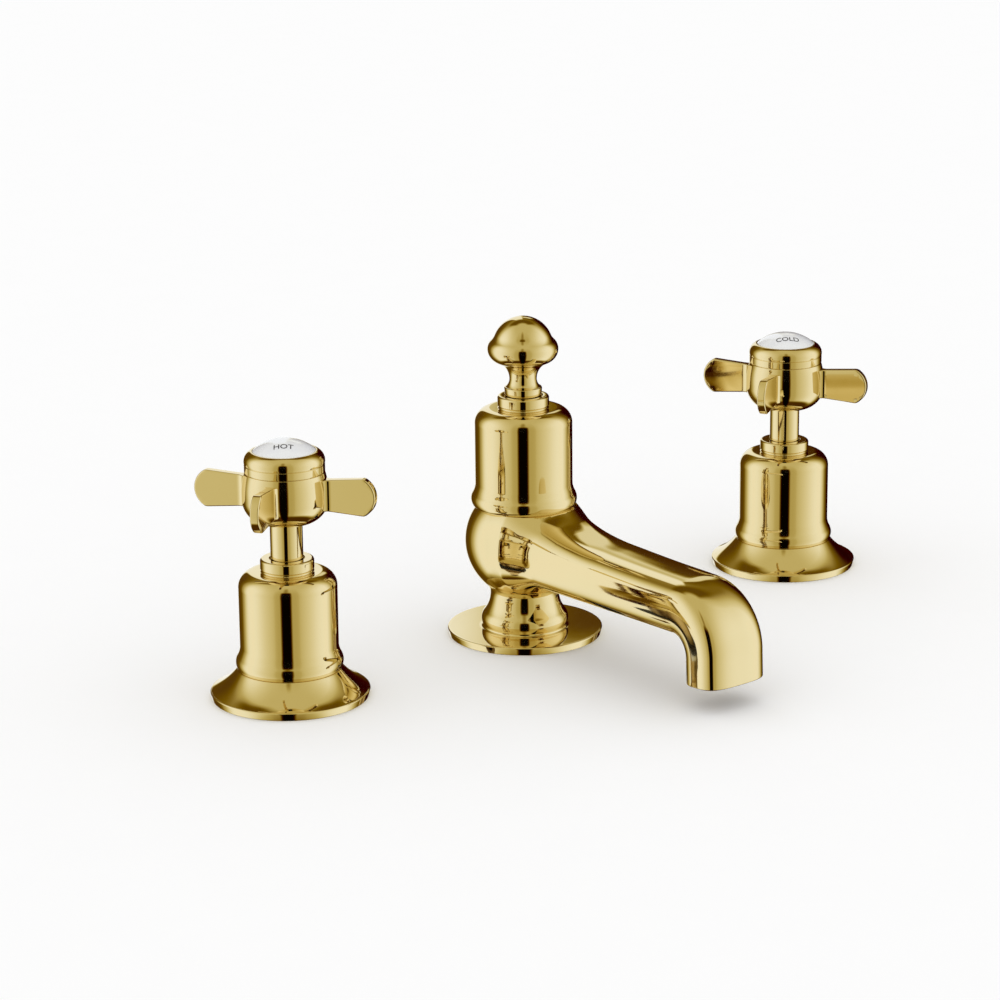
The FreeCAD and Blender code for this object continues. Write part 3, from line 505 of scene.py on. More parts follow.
def bell(radius, foot, top):
    """Outline of a hollow bell with an even wall."""
    lip_level = foot + LIP_RISE
    inner, shoulder_r, shoulder_z = radius - BELL_WALL, radius - SHOULDER, top - SHOULDER
    return eased(walk(
        (inner, foot),
        lip_and_cove(radius, radius + LIP_STAND, LIP_ROUND, lip_level, lip_level + COVE_RISE, LIP_RISE),
        arc((radius, shoulder_z), (shoulder_r, top), (shoulder_r, shoulder_z), 24),
        (BELL_HOLE, top), (BELL_HOLE, top - BELL_WALL),
        arc((shoulder_r, top - BELL_WALL), (inner, shoulder_z), (shoulder_r, shoulder_z))))


VALVE_BELL_R, VALVE_BELL_TOP = 18.5, 49.0
SPOUT_BELL_R, SPOUT_SEAT, SPOUT_BELL_TOP = 19.1, 53.0, 92.0
for side, x in SIDES:
    valve_bell = turned(bell(VALVE_BELL_R, FLANGE_TOP, VALVE_BELL_TOP), x)
    finish_piece(f"{side}_bell", [valve_bell], "deck_set", f"{side}_bell_cover")
spout_bell = turned(bell(SPOUT_BELL_R, SPOUT_SEAT, SPOUT_BELL_TOP))
finish_piece("spout_bell_cover", [spout_bell], "deck_set", "spout_bell")

# %% [markdown]
# ## Collar rings
# A small ring nut holds each bell down. It has a fine bead at its foot, a rounded top edge and a
# clear hole for the stem or the knob's skirt, so the moving piece seems to rise out of it. The bead
# could be a torus, but as part of the outline it leaves no seam.

# %% Collars
COLLAR_R, COLLAR_H, COLLAR_ROUND, BEAD_STAND, BEAD_H = 10.1, 5.0, 1.0, 0.7, 1.2
COLLAR_THREAD_R, COLLAR_THREAD_TOP = 8.05, 3.05
VALVE_COLLAR_HOLE, SPOUT_COLLAR_HOLE = 6.6, 7.7


def collar(foot, hole):
    """Outline of a ring nut with a bead, a rounded top and a stepped bore."""
    top, inset = foot + COLLAR_H, COLLAR_R - COLLAR_ROUND
    return eased(walk(
        (COLLAR_THREAD_R, foot), bow((COLLAR_R, foot), (COLLAR_R, foot + BEAD_H), BEAD_STAND),
        arc((COLLAR_R, top - COLLAR_ROUND), (inset, top), (inset, top - COLLAR_ROUND)),
        (hole, top), (hole, foot + COLLAR_THREAD_TOP), (COLLAR_THREAD_R, foot + COLLAR_THREAD_TOP)))


for side, x in SIDES:
    valve_collar = turned(collar(VALVE_BELL_TOP, VALVE_COLLAR_HOLE), x)
    finish_piece(f"{side}_collar", [valve_collar], "deck_set", f"{side}_collar_ring")
spout_collar = turned(collar(SPOUT_BELL_TOP, SPOUT_COLLAR_HOLE))
finish_piece("spout_collar_ring", [spout_collar], "deck_set", "spout_collar")

# %% [markdown]
# ## Stems
# A plain round sleeve covers each spindle between the collar and the handle's hub. It turns with
# the handle, so it rides on the handle's body. A cylinder would do, but an outline also gives the bore.

# %% Stem sleeves
STEM_R, STEM_BORE, STEM_FOOT, STEM_TOP = 6.1, 4.5, 53.0, 70.4
stem = eased(walk((STEM_BORE, STEM_FOOT), (STEM_R, STEM_FOOT), (STEM_R, STEM_TOP), (STEM_BORE, STEM_TOP)))
for side, x in SIDES:
    finish_piece(f"{side}_stem", [turned(stem, x)], f"{side}_handle", f"{side}_stem_sleeve")

# %% [markdown]
# ## Paddles of the cross handles
# The handle is one casting: a round hub with four flat paddles. A paddle is a plate that grows
# taller outwards, with a bowed end and soft edges, and it swells where it runs into the hub. It
# could be a box with bevels, but a bevel would pinch at the bowed end. Here the outline has its
# outward direction at each point, and one soft edge is carried all along it.

# %% Outline of a paddle
HUB_R = 16.1
PADDLE_ROOT, PADDLE_REACH, PADDLE_BOW, PADDLE_LEVEL = 9.0, 35.2, 4.4, 79.2
ROOT_HALF, TIP_HALF, PLATE_HALF = 5.4, 7.15, 1.7
CORNER_ROUND, RIM_ROUND, FLARE, FLARE_RUN, FLARE_POWER = 2.6, 0.6, 0.9, 2.6, 2.5
FLARE_STEPS, RUN_STEPS, FAN_STEPS, BOW_STEPS = 14, 8, 9, 22
PADDLE_WALL = math.sqrt(HUB_R ** 2 - (PLATE_HALF + FLARE) ** 2)


def paddle_outline():
    """Upper half of the plate's outline from root to tip: points set in by the corner's round, and
    the outward direction at each. A straight run, a fan of directions at the corner, then the bow."""
    bow_round = (TIP_HALF ** 2 + PADDLE_BOW ** 2) / (2 * PADDLE_BOW)
    middle = np.array([PADDLE_REACH - bow_round, 0.0])
    run = np.array([PADDLE_REACH - PADDLE_BOW - PADDLE_ROOT, TIP_HALF - ROOT_HALF])
    run /= np.linalg.norm(run)
    out = np.array([-run[1], run[0]])
    start = np.array([PADDLE_ROOT, ROOT_HALF]) - CORNER_ROUND * out
    offset, inner_bow = start - middle, bow_round - CORNER_ROUND
    lead = offset @ run
    length = -lead + math.sqrt(lead ** 2 - offset @ offset + inner_bow ** 2)
    corner = start + length * run
    wall = PADDLE_WALL - PADDLE_ROOT
    steps = np.concatenate([[0.0], wall + np.linspace(0, FLARE_RUN, FLARE_STEPS),
                            np.linspace(wall + FLARE_RUN, length, RUN_STEPS)[1:]])
    corner_turn = math.atan2(corner[1], corner[0] - middle[0])
    fan = np.linspace(math.atan2(out[1], out[0]), corner_turn, FAN_STEPS)[1:]
    bend = np.linspace(corner_turn, 0, BOW_STEPS)[1:]
    points = np.vstack([start + steps[:, None] * run, np.repeat(corner[None], len(fan), axis=0),
                        middle + inner_bow * np.column_stack([np.cos(bend), np.sin(bend)])])
    turns = np.concatenate([fan, bend])
    outward = np.vstack([np.repeat(out[None], len(steps), axis=0),
                         np.column_stack([np.cos(turns), np.sin(turns)])])
    return points, outward


print("paddle outline has", len(paddle_outline()[0]), "points")

# %% [markdown]
# ## From outline to plate
# The outline becomes a plate by rings from root to tip. Each ring runs down one face, round the lower
# edge, up the other face and round the upper edge. A Solidify modifier could give the thickness, but
# not the hollow flare by which the two faces part near the hub.

# %% Paddle
FACE_STEPS, EDGE_STEPS = 7, 12


def paddle(angle, centre):
    """The plate as rings from root to tip, turned by an angle. A ring lies at the outline plus the rim's
    round times cosine outwards, and half the thickness less the round plus round times sine aside."""
    points, outward = paddle_outline()
    inset = points + (CORNER_ROUND - RIM_ROUND) * outward
    gone = np.clip((PADDLE_WALL + FLARE_RUN - inset[:, 0]) / FLARE_RUN, 0, 1)
    half = (PLATE_HALF + FLARE * gone ** FLARE_POWER)[:, None]
    share = np.linspace(-1, 1, FACE_STEPS)[1:-1]
    edge = np.linspace(-math.pi / 2, math.pi / 2, EDGE_STEPS)
    swing = np.cos(edge) * RIM_ROUND
    depth = np.where(edge < 0, -1, 1) * (half - RIM_ROUND) + RIM_ROUND * np.sin(edge)
    rim_x = inset[:, :1] + outward[:, :1] * swing
    rim_z = inset[:, 1:] + outward[:, 1:] * swing
    face_x, face_z = np.repeat(inset[:, :1], len(share), axis=1), inset[:, 1:] * share
    flat = np.ones(len(share))
    out_x = np.hstack([face_x, rim_x, face_x, rim_x])
    out_y = np.hstack([-half * flat, depth, half * flat, depth[:, ::-1]])
    out_z = np.hstack([face_z, rim_z, face_z[:, ::-1], -rim_z])
    root = np.zeros((1, out_x.shape[1]))
    out_x, out_y, out_z = (np.vstack(pair) for pair in
                           ((root + PADDLE_ROOT, out_x), (root, out_y), (root, out_z)))
    turn_x, turn_y = math.cos(math.radians(angle)), math.sin(math.radians(angle))
    grid = np.stack([centre + out_x * turn_x - out_y * turn_y, out_x * turn_y + out_y * turn_x,
                     out_z + PADDLE_LEVEL], axis=-1)
    return shell(grid, close_rows=False)


print("paddles reach", PADDLE_REACH, "mm from the axis")

# %% [markdown]
# ## Hubs
# The hub is turned: a round foot over the stem, a belly that narrows a little upwards, and a pocket for
# the cap. The four paddles start inside it. A Boolean could fuse them with it, but it would leave long
# thin faces that a mirror shows.

# %% Hub and handle
HUB_FOOT, HUB_FOOT_ROUND, HUB_BELLY, HUB_TOP, HUB_TOP_R = 67.8, 9.0, 78.8, 87.2, 14.9
POCKET_R, POCKET_DEPTH, STEM_SOCKET, STEM_FIT, SPINDLE_HOLE = 9.0, 6.0, 2.6, 0.05, 4.3
HANDLE_REST = {"hot": 35.0, "cold": 29.0}
belly_drop = HUB_R - HUB_TOP_R
belly_round = (belly_drop ** 2 + (HUB_TOP - HUB_BELLY) ** 2) / (2 * belly_drop)
hub_round = (HUB_R - HUB_FOOT_ROUND, HUB_FOOT + HUB_FOOT_ROUND)
socket_r, pocket_floor = STEM_R + STEM_FIT, HUB_TOP - POCKET_DEPTH
hub = eased(walk(
    (socket_r, HUB_FOOT), arc((hub_round[0], HUB_FOOT), (HUB_R, hub_round[1]), hub_round, 30),
    arc((HUB_R, HUB_BELLY), (HUB_TOP_R, HUB_TOP), (HUB_R - belly_round, HUB_BELLY), 16),
    (POCKET_R, HUB_TOP), (POCKET_R, pocket_floor), (SPINDLE_HOLE, pocket_floor),
    (SPINDLE_HOLE, HUB_FOOT + STEM_SOCKET), (socket_r, HUB_FOOT + STEM_SOCKET)))
for side, x in SIDES:
    arms = [paddle(HANDLE_REST[side] + 90 * quarter, x) for quarter in range(4)]
    finish_piece(f"{side}_handle_cross", [turned(hub, x), *arms], f"{side}_handle", f"{side}_cross_handle")

# %% [markdown]
# ## Cap rings
# A turned cap screws into the hub and frames the white disc. It has a plain band, a fine groove and
# a rounded shoulder, and a thin dark seam parts it from the hub. Both lines could be painted, but cut
# into the outline they stay dark from every side.

# %% Cap rings
CAP_R, CAP_FOOT, CAP_SEAM, BAND_TOP = 15.0, 87.5, 0.3, 90.1
GROOVE_DEPTH, GROOVE_H, CAP_BULGE, CAP_TOP, BEZEL_R, DISC_SEAT = 0.3, 0.4, 1.0, 95.2, 12.3, 11.8
SPIGOT_R, SPIGOT_BORE, SPIGOT_FOOT, DISC_FLOOR, CAP_EDGE = 8.95, 6.95, 84.2, 93.2, 0.12
shoulder_foot = BAND_TOP + GROOVE_H
cap = eased(walk(
    (SPIGOT_BORE, SPIGOT_FOOT), (SPIGOT_R, SPIGOT_FOOT), (SPIGOT_R, HUB_TOP), (CAP_R - CAP_SEAM, HUB_TOP),
    (CAP_R - CAP_SEAM, CAP_FOOT), (CAP_R, CAP_FOOT), (CAP_R, BAND_TOP),
    (CAP_R - GROOVE_DEPTH, BAND_TOP + GROOVE_H / 2),
    bow((CAP_R, shoulder_foot), (BEZEL_R, CAP_TOP), CAP_BULGE, 28),
    (DISC_SEAT, CAP_TOP), (DISC_SEAT, DISC_FLOOR), (SPIGOT_BORE, DISC_FLOOR)), CAP_EDGE)
for side, x in SIDES:
    finish_piece(f"{side}_cap", [turned(cap, x)], f"{side}_handle", f"{side}_cap_ring")

# %% [markdown]
# ## Spout casting
# The spout is the one piece that no lathe can make: a globe on a flanged neck, with an arm that runs
# forward and bends down into a nozzle. The arm is wider than it is thick, with soft corners between
# its flat faces. Globe and arm share one skin, the smooth union of both, so no seam catches the light.
# First come the sizes and the helpers for one ring of points round the arm.

# %% Rings round the arm
GLOBE_R, GLOBE_Z = 23.3, 38.5
ARM_HALF, ARM_HALF_THICK, NOZZLE_HALF_THICK, SQUARENESS, ROOT_SHARE = 15.1, 10.35, 9.3, 3.2, 0.7
ARM_Z, ARM_RUN, BEND_R, BEND_TURN = 35.0, 98.2, 16.0, 88.0
NOZZLE_LENGTH, NOZZLE_BORE, WAY_R, WAY_END, MOUTH_ROUND = 10.3, 7.6, 7.0, -60.0, 0.5
SWELL_STATIONS = np.array([0.0, 0.06, 0.14, 0.22, 0.32, 0.44, 0.6, 0.8, 1.0])
SWELL_SHARES = np.array([0.5, 0.42, 0.335, 0.24, 0.14, 0.073, 0.04, 0.013, 0.0])
BLEND, BLEND_RUN, BLEND_LEAST, ROOT_END = 7.0, 10.0, 1e-3, 34.0
around_arm = np.linspace(0, 2 * math.pi, AROUND, endpoint=False)[None, :]
across_arm, up_arm = np.sin(around_arm), np.cos(around_arm)


def flowing(x, knots, values):
    """A smooth curve through values at knots: a cubic on each stretch that starts and ends with the
    slopes of its neighbours."""
    slopes = np.gradient(values, knots)
    place = np.clip(np.searchsorted(knots, x, side="right") - 1, 0, len(knots) - 2)
    width = knots[place + 1] - knots[place]
    t = (x - knots[place]) / width
    return ((1 + 2 * t) * (1 - t) ** 2 * values[place] + t * (1 - t) ** 2 * width * slopes[place]
            + t ** 2 * (3 - 2 * t) * values[place + 1] - t ** 2 * (1 - t) * width * slopes[place + 1])


def oblong(across, lift, half, half_thick):
    """Where a point lies in a rounded oblong: |across / half| and |lift / half thickness|, each to the
    power of the squareness, added up and the root taken. It is 1 on the outline."""
    total = np.abs(across / half) ** SQUARENESS + np.abs(lift / half_thick) ** SQUARENESS
    return total ** (1 / SQUARENESS)


def ring(y, z, tilt, radius):
    """Points round the arm's middle line at (y, z), tilted down by an angle: radius times sine goes
    sideways, and radius times cosine goes up, or forward where the arm points down."""
    lift = radius * up_arm
    sides = (radius * across_arm, y - lift * np.sin(tilt), z + lift * np.cos(tilt))
    return np.stack(np.broadcast_arrays(*sides), axis=-1)


print("a ring round the arm has", AROUND, "points")

# %% [markdown]
# ## Globe and straight arm
# A remesh could melt the globe and the arm together, but it leaves bumps that a mirror shows. Here the
# depth under both forms is a formula, and the skin lies where the joined depth is zero.

# %% Globe and arm
HALVINGS, BACK_RINGS, ROOT_RINGS, ARM_RINGS = 40, 40, 60, 36
rise = GLOBE_Z - ARM_Z
globe_middle, globe_reach = rise * up_arm, np.sqrt(GLOBE_R ** 2 - (rise * across_arm) ** 2)


def globe_and_arm(ahead):
    """Radius of the skin round the arm's axis at distances ahead of the globe's middle. The globe's
    depth g and the arm's depth a under a point are joined as the smaller of both less h*h*k/4,
    where h = max(0, 1 - |g - a| / k), and the radius where that is zero is found by halving."""
    swell = (GLOBE_R - ARM_HALF_THICK) * flowing(ahead / ARM_RUN, SWELL_STATIONS, SWELL_SHARES)
    half, half_thick = ARM_HALF + ROOT_SHARE * swell, ARM_HALF_THICK + swell
    soft = BLEND * np.clip(ahead / BLEND_RUN, BLEND_LEAST, 1.0)
    low = np.zeros_like(ahead * around_arm)
    high = low + 2 * GLOBE_R
    for halving in range(HALVINGS):
        guess = (low + high) / 2
        globe_depth = np.hypot(ahead, guess - globe_middle) - globe_reach
        arm_depth = (oblong(guess * across_arm, guess * up_arm - swell, half, half_thick) - 1) * half_thick
        joint = np.clip(1 - np.abs(globe_depth - arm_depth) / soft, 0, None)
        inside = np.minimum(globe_depth, arm_depth) - joint ** 2 * soft / 4 < 0
        low, high = np.where(inside, guess, low), np.where(inside, high, guess)
    return (low + high) / 2


back_turn = -np.arcsin(globe_middle / globe_reach)
turns = back_turn + (math.pi / 2 - back_turn) * np.linspace(0, 1, BACK_RINGS)[:, None]
back = ring(globe_reach * np.cos(turns), ARM_Z, 0.0, globe_middle + globe_reach * np.sin(turns))
ahead = np.concatenate([np.linspace(0, ROOT_END, ROOT_RINGS)[1:],
                        np.linspace(ROOT_END, ARM_RUN, ARM_RINGS)[1:]])[:, None]
straight = ring(-ahead, ARM_Z, 0.0, globe_and_arm(ahead))
print("globe and arm", len(back) + len(straight), "rings")

# %% [markdown]
# ## Bend, nozzle and waterway
# The same rings follow the bend and go down the nozzle. The skin then goes on round the mouth and up
# inside, and so it closes on itself. A plain disc could close the mouth, but a real nozzle is open, and
# its rounded lip catches the light. The bell hides the globe's top, which is cut off flat under it.

# %% Bend, mouth and closed skin
BEND_RINGS, WALL_RINGS, ROLL_RINGS, CUT_SLACK = 40, 7, 8, 1e-7
bend_share = np.linspace(0, 1, BEND_RINGS)[1:, None]
tilt = math.radians(BEND_TURN) * bend_share
bend_y, bend_z = -ARM_RUN - BEND_R * np.sin(tilt), ARM_Z - BEND_R * (1 - np.cos(tilt))
bend_thick = ARM_HALF_THICK + (NOZZLE_HALF_THICK - ARM_HALF_THICK) * bend_share
bent = ring(bend_y, bend_z, tilt, 1 / oblong(across_arm, up_arm, ARM_HALF, bend_thick))


def down_nozzle(radius, out):
    """Rings at distances along the nozzle's middle line, past the end of the bend."""
    end = tilt[-1, 0]
    return ring(bend_y[-1] - out * math.cos(end), bend_z[-1] - out * math.sin(end), end, radius)


outside = 1 / oblong(across_arm, up_arm, ARM_HALF, NOZZLE_HALF_THICK)
roll = np.linspace(0, math.pi / 2, ROLL_RINGS)[:, None]
lip = NOZZLE_LENGTH - MOUTH_ROUND
mouth = np.vstack([
    down_nozzle(outside, np.linspace(0, lip, WALL_RINGS)[1:-1, None]),
    down_nozzle(outside - MOUTH_ROUND * (1 - np.cos(roll)), lip + MOUTH_ROUND * np.sin(roll)),
    down_nozzle(NOZZLE_BORE + MOUTH_ROUND * (1 - np.sin(roll)), lip + MOUTH_ROUND * np.cos(roll)),
    down_nozzle(np.array([[NOZZLE_BORE], [WAY_R]]), np.zeros((2, 1)))])
inside = np.vstack([ring(bend_y[::-1], bend_z[::-1], tilt[::-1], WAY_R),
                    *(ring(np.full((1, 1), y), ARM_Z, 0.0, radius)
                      for y, radius in ((-ARM_RUN, WAY_R), (WAY_END, WAY_R), (WAY_END, 0.0)))])
skin = shell(np.vstack([back, straight, bent, mouth, inside]), close_rows=False)
cut = bmesh.ops.bisect_plane(skin, geom=skin.verts[:] + skin.edges[:] + skin.faces[:], dist=CUT_SLACK,
                             plane_co=(0, 0, SPOUT_SEAT * MM), plane_no=(0, 0, 1), clear_outer=True)
cut_edges = [part for part in cut["geom_cut"] if isinstance(part, bmesh.types.BMEdge)]
bmesh.ops.contextual_create(skin, geom=cut_edges)
bmesh.ops.recalc_face_normals(skin, faces=skin.faces)
print("spout skin", len(skin.faces), "faces")

# %% [markdown]
# ## Hollows that touch two rounds
# A turner joins two round forms by a hollow that touches both. Its middle could be found by trial, but
# its distances from the two middles are known, so a triangle gives it.


# %% Points of touch
def toward(start, end, distance):
    """The point at a distance from start on the way to end."""
    start, end = np.asarray(start, float), np.asarray(end, float)
    return start + (end - start) * distance / np.linalg.norm(end - start)


def hollow_between(first, first_round, second, second_round, hollow):
    """Middle of a hollow arc that touches two round forms from outside: it lies round plus hollow from
    each middle, to the right of the line from the first to the second."""
    first, second = np.asarray(first, float), np.asarray(second, float)
    apart = second - first
    gap = np.linalg.norm(apart)
    out, other = first_round + hollow, second_round + hollow
    along_gap = (out ** 2 - other ** 2 + gap ** 2) / (2 * gap)
    across = math.sqrt(out ** 2 - along_gap ** 2)
    return first + (along_gap * apart + across * np.array([apart[1], -apart[0]])) / gap


print("hollows can be placed")

# %% [markdown]
# ## Flange and neck of the spout
# Below the globe the same casting was turned: a mirror-bright disc that is all but flat, a small cove,
# a rounded lip like a small cushion, a hollow neck and a cove that runs up under the globe. The outline
# could stop where it meets the globe. It ends a little inside instead, so no gap can open there.

# %% Spout column
SPOUT_FLANGE_R, FLANGE_CROWN, NECK_R, NECK_COVE, FOOT_COVE = 30.6, 0.25, 13.6, 6.0, 0.8
NECK_LIP_STAND, NECK_LIP_ROUND, NECK_LIP_RISE = 3.6, 5.2, 3.3
NECK_BORE, SOCKET_TOP, TUCK_IN, TUCK_UP, SPOUT_AROUND = 9.8, 10.0, 2.0, 3.0, 192
flange_top = RIM_TOP + EDGE_ROUND
crown_rim = SPOUT_FLANGE_R - EDGE_ROUND
crown_round = (crown_rim ** 2 + FLANGE_CROWN ** 2) / (2 * FLANGE_CROWN)
crown_middle = (0, flange_top + FLANGE_CROWN - crown_round)
lip_middle = (NECK_R + NECK_LIP_STAND - NECK_LIP_ROUND, flange_top + NECK_LIP_RISE)
foot_middle = hollow_between(crown_middle, crown_round, lip_middle, NECK_LIP_ROUND, FOOT_COVE)
on_crown = toward(foot_middle, crown_middle, FOOT_COVE)
on_lip = toward(foot_middle, lip_middle, FOOT_COVE)
cove_r = NECK_R + NECK_COVE
waist = GLOBE_Z - math.sqrt((GLOBE_R + NECK_COVE) ** 2 - cove_r ** 2)
touch = np.array([cove_r, waist - GLOBE_Z]) * GLOBE_R / (GLOBE_R + NECK_COVE) + (0, GLOBE_Z)
column_top = touch[1] + TUCK_UP
column = eased(walk(
    flange_foot(SPOUT_FLANGE_R), flange_rim(SPOUT_FLANGE_R),
    arc((crown_rim, flange_top), on_crown, crown_middle), arc(on_crown, on_lip, foot_middle),
    lip_and_cove(NECK_R, NECK_R + NECK_LIP_STAND, NECK_LIP_ROUND, lip_middle[1], waist,
                 lip_middle[1] - on_lip[1]),
    arc((NECK_R, waist), touch, (cove_r, waist), 16),
    (touch[0] - TUCK_IN, column_top), (NECK_BORE, column_top),
    (NECK_BORE, SOCKET_TOP), (SHANK_HOLE, SOCKET_TOP)))
finish_piece("spout_casting", [skin, turned(column, 0.0, SPOUT_AROUND)], "deck_set", "spout_body")

# %% [markdown]
# ## Lift knob
# The knob on top pulls up on a rod. It was turned in one piece: a skirt that sinks into the collar, a
# waist, a wide bulge, a shallow cove and a dome. Scaled spheres could come close, but here every arc
# from the waist up touches the next, which keeps the bands of light smooth.

# %% Knob
KNOB_FOOT, KNOB_FOOT_R, SKIRT_R, SKIRT_RIM, KNOB_RIM = 95.3, 6.9, 7.4, 100.4, 0.6
KNOB_NECK_R, KNOB_NECK_Z, BULGE_R, BULGE_Z = 5.35, 103.5, 13.8, 115.4
BULGE_FOOT_ROUND, BULGE_TOP_ROUND, DOME_R, DOME_Z, KNOB_COVE = 5.4, 4.6, 11.8, 116.4, 6.0
ROD_HOLE, ROD_SEAT, KNOB_EDGE = 2.55, 112.4, 0.1
bulge_low, bulge_high = (BULGE_R - BULGE_FOOT_ROUND, BULGE_Z), (BULGE_R - BULGE_TOP_ROUND, BULGE_Z)
climb, stretch = BULGE_Z - KNOB_NECK_Z, bulge_low[0] - KNOB_NECK_R
waist_round = (BULGE_FOOT_ROUND ** 2 - stretch ** 2 - climb ** 2) / (-2 * (stretch + BULGE_FOOT_ROUND))
knob_waist = (KNOB_NECK_R + waist_round, KNOB_NECK_Z)
waist_end = toward(knob_waist, bulge_low, waist_round)
cove_middle = hollow_between(bulge_high, BULGE_TOP_ROUND, (0, DOME_Z), DOME_R, KNOB_COVE)
cove_start = toward(cove_middle, bulge_high, KNOB_COVE)
cove_end = toward(cove_middle, (0, DOME_Z), KNOB_COVE)
rim_in, rim_low = SKIRT_R - KNOB_RIM, SKIRT_RIM - KNOB_RIM
tuck = rim_in - KNOB_NECK_R
tuck_round = ((KNOB_NECK_Z - SKIRT_RIM) ** 2 + tuck ** 2) / (2 * tuck)
knob = eased(walk(
    (ROD_HOLE, KNOB_FOOT), (KNOB_FOOT_R, KNOB_FOOT),
    arc((SKIRT_R, rim_low), (rim_in, SKIRT_RIM), (rim_in, rim_low), 10),
    arc((rim_in, SKIRT_RIM), (KNOB_NECK_R, KNOB_NECK_Z), (KNOB_NECK_R + tuck_round, KNOB_NECK_Z)),
    arc((KNOB_NECK_R, KNOB_NECK_Z), waist_end, knob_waist, 24),
    arc(waist_end, (BULGE_R, BULGE_Z), bulge_low, 24),
    arc((BULGE_R, BULGE_Z), cove_start, bulge_high, 20), arc(cove_start, cove_end, cove_middle, 14),
    arc(cove_end, (0, DOME_Z + DOME_R), (0, DOME_Z), 40), (0, ROD_SEAT), (ROD_HOLE, ROD_SEAT)), KNOB_EDGE)
finish_piece("lift_knob_turned", [turned(knob, 0.0, SPOUT_AROUND)], "lift", "lift_knob")

# %% [markdown]
# ## Porcelain discs
# A glazed white disc with a low dome sits in each cap. Glaze is a clear coat over a pale body. One gloss
# white could stand for both, but a coat of its own gives a sharper glint.

# %% Finish: porcelain, and the discs
place = new_finish("porcelain")
sealed(place, Base_Color=tinted(noise(place, 60.0), (0.80, 0.81, 0.82), (0.85, 0.86, 0.87)),
       Roughness=between(noise(place, 500.0), 0.12, 0.2), Coat_Weight=0.6, Coat_Roughness=0.04,
       Normal=bumped(noise(place, 250.0, 2.0), 0.06, 0.02))
DISC_R, DISC_RISE, DISC_EDGE, DISC_AROUND = 11.75, 4.4, 0.15, 128
dome_round = (DISC_R ** 2 + DISC_RISE ** 2) / (2 * DISC_RISE)
dome_middle = CAP_TOP + DISC_RISE - dome_round
disc = eased(walk((0, DISC_FLOOR), (DISC_R, DISC_FLOOR),
                  arc((DISC_R, CAP_TOP), (0, CAP_TOP + DISC_RISE), (0, dome_middle), 40)), DISC_EDGE)
for side, x in SIDES:
    finish_piece(f"{side}_disc", [turned(disc, x, DISC_AROUND)], f"{side}_handle", f"{side}_index_disc",
                 "porcelain")

# %% [markdown]
# ## Words on the discs
# A small word fired onto the glaze says which water the handle brings. An image could carry it, but text
# stays sharp from close by. Text is a curve in Blender: it is made a mesh, divided so that it can
# bend, and then laid on the dome.

# %% Finish: fired enamel, and the words
place = new_finish("fired_enamel")
sealed(place, Base_Color=tinted(noise(place, 900.0), (0.02, 0.021, 0.024), (0.05, 0.05, 0.055)),
       Roughness=between(noise(place, 700.0), 0.18, 0.3), Coat_Weight=0.4, Coat_Roughness=0.05)
LETTER_SIZE, LETTER_MERGE, LETTER_STEP, LETTER_CUTS = 3.51, 1e-5, 0.5, 2
WORD_REACH, WORD_STAND, WORD_THICK, WORD_BEARING = 6.6, 0.05, 0.06, 232.0


def word_on_dome(name, word, centre):
    """A word laid on the dome: its flat points are turned to face the bearing, moved out to the reach
    and raised to the dome's height, which is the middle plus the root of round squared less r squared."""
    text = bpy.data.curves.new(name, "FONT")
    text.body, text.size, text.align_x, text.align_y = word, LETTER_SIZE, "CENTER", "CENTER"
    draft = bpy.data.objects.new(name, text)
    scene.collection.objects.link(draft)
    bpy.context.view_layer.update()
    mesh = bpy.data.meshes.new_from_object(draft.evaluated_get(bpy.context.evaluated_depsgraph_get()))
    bpy.data.objects.remove(draft)
    letters = bmesh.new()
    letters.from_mesh(mesh)
    bmesh.ops.remove_doubles(letters, verts=letters.verts, dist=LETTER_MERGE)
    bmesh.ops.triangulate(letters, faces=letters.faces)
    long_edges = [edge for edge in letters.edges if edge.calc_length() > LETTER_STEP]
    bmesh.ops.subdivide_edges(letters, edges=long_edges, cuts=LETTER_CUTS)
    bmesh.ops.triangulate(letters, faces=letters.faces)
    letters.to_mesh(mesh)
    letters.free()
    flat = np.empty(len(mesh.vertices) * 3)
    mesh.vertices.foreach_get("co", flat)
    flat = flat.reshape(-1, 3)
    facing = math.radians(WORD_BEARING)
    out = np.array([math.cos(facing), math.sin(facing)])
    across = np.array([-math.sin(facing), math.cos(facing)])
    spot = flat[:, :1] * across + (WORD_REACH - flat[:, 1:2]) * out
    level = dome_middle + np.sqrt((dome_round + WORD_STAND) ** 2 - np.sum(spot ** 2, axis=1))
    laid = np.column_stack([spot[:, 0] + centre, spot[:, 1], level]) * MM
    mesh.vertices.foreach_set("co", laid.ravel())
    mesh.update()
    mesh.materials.append(finishes["fired_enamel"])
    piece = bpy.data.objects.new(name, mesh)
    scene.collection.objects.link(piece)
    thick = piece.modifiers.new("enamel", "SOLIDIFY")
    thick.thickness, thick.offset = WORD_THICK * MM, 0.0
    return piece


for (side, x), word in zip(SIDES, ("HOT", "COLD")):
    letters = word_on_dome(f"{side}_word", word, x)
    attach(letters, f"{side}_handle")
    print(side, "word", len(letters.data.polygons), "faces")

# %% [markdown]
# ## Inner and lower pieces
# The pieces under the deck and inside the covers could be made again too, but the CAD shapes are right
# and nobody polishes them, so they stay. They get finishes of their own: brass with turning marks, plain
# steel, black rubber and pale lapped ceramic. The marks come from a wave texture.

# %% Finishes for the hidden pieces
place = new_finish("machined_brass")
rings = add(place.id_data, "ShaderNodeTexWave", {"bands_direction": "Z"}, Vector=place, Scale=900.0,
            Distortion=0.4, Detail=1.0).outputs["Fac"]
sealed(place, Metallic=1.0,
       Base_Color=tinted(noise(place, 90.0), (0.56, 0.42, 0.20), (0.68, 0.53, 0.28)),
       Roughness=between(noise(place, 350.0), 0.26, 0.4), Normal=bumped(rings, 0.25, 0.05))

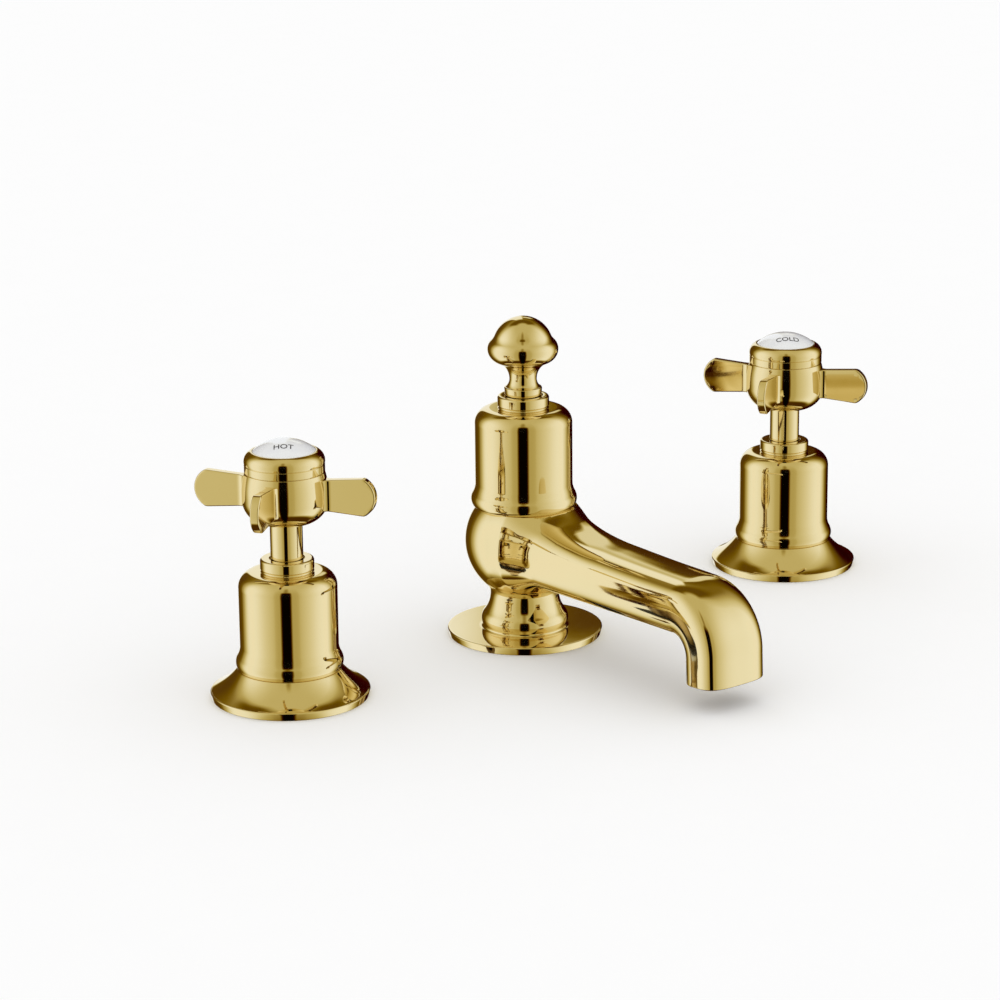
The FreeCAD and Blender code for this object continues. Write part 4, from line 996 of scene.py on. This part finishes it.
place = new_finish("rubber")
sealed(place, Base_Color=tinted(noise(place, 220.0), (0.016, 0.016, 0.017), (0.03, 0.03, 0.032)),
       Roughness=between(noise(place, 500.0), 0.55, 0.75),
       Normal=bumped(noise(place, 1500.0), 0.15, 0.03))

place = new_finish("steel")
sealed(place, Metallic=1.0,
       Base_Color=tinted(noise(place, 150.0), (0.52, 0.53, 0.54), (0.62, 0.62, 0.63)),
       Roughness=between(noise(place, 600.0, 3.0, (1.0, 1.0, 6.0)), 0.25, 0.4),
       Normal=bumped(noise(place, 900.0, 2.0, (0.2, 0.2, 4.0)), 0.12, 0.03))

place = new_finish("ceramic")
sealed(place, Base_Color=tinted(noise(place, 180.0), (0.78, 0.77, 0.72), (0.84, 0.83, 0.79)),
       Roughness=between(noise(place, 800.0), 0.2, 0.32),
       Normal=bumped(noise(place, 1200.0), 0.08, 0.02))

for subpart in frame["record"]["subparts"]:
    node = nodes[subpart["node"]]
    node.data.materials.clear()
    node.data.materials.append(finishes[subpart["material_slot"]])

# %% [markdown]
# ## Floor
# A pale floor stands for the bath's rim at height zero. It is almost white, so under the even sky it
# comes out as the photograph's white ground, with soft shadows. A plane could serve as well, but a wide
# disc has no corner for a low view to catch. The brass doesn't mirror the floor: in the photograph its
# lower faces show the room.

# %% Floor
place = new_finish("white_paper")
paint = tinted(noise(place, 40.0), (0.975, 0.975, 0.975), (0.985, 0.985, 0.985))
matt = add(place.id_data, "ShaderNodeBsdfDiffuse", Color=paint)
add(place.id_data, "ShaderNodeOutputMaterial", Surface=matt.outputs[0])
FLOOR_REACH, FLOOR_STEPS = 4.0, 96
spokes = np.linspace(0, 2 * math.pi, FLOOR_STEPS, endpoint=False)
rim = FLOOR_REACH * np.column_stack([np.cos(spokes), np.sin(spokes), np.zeros(FLOOR_STEPS)])
floor_mesh = bpy.data.meshes.new("floor")
floor_mesh.from_pydata(rim.tolist(), [], [list(range(FLOOR_STEPS))])
floor_mesh.materials.append(finishes["white_paper"])
floor = bpy.data.objects.new("floor", floor_mesh)
scene.collection.objects.link(floor)
floor.visible_glossy = False
print("floor reaches", FLOOR_REACH, "m")
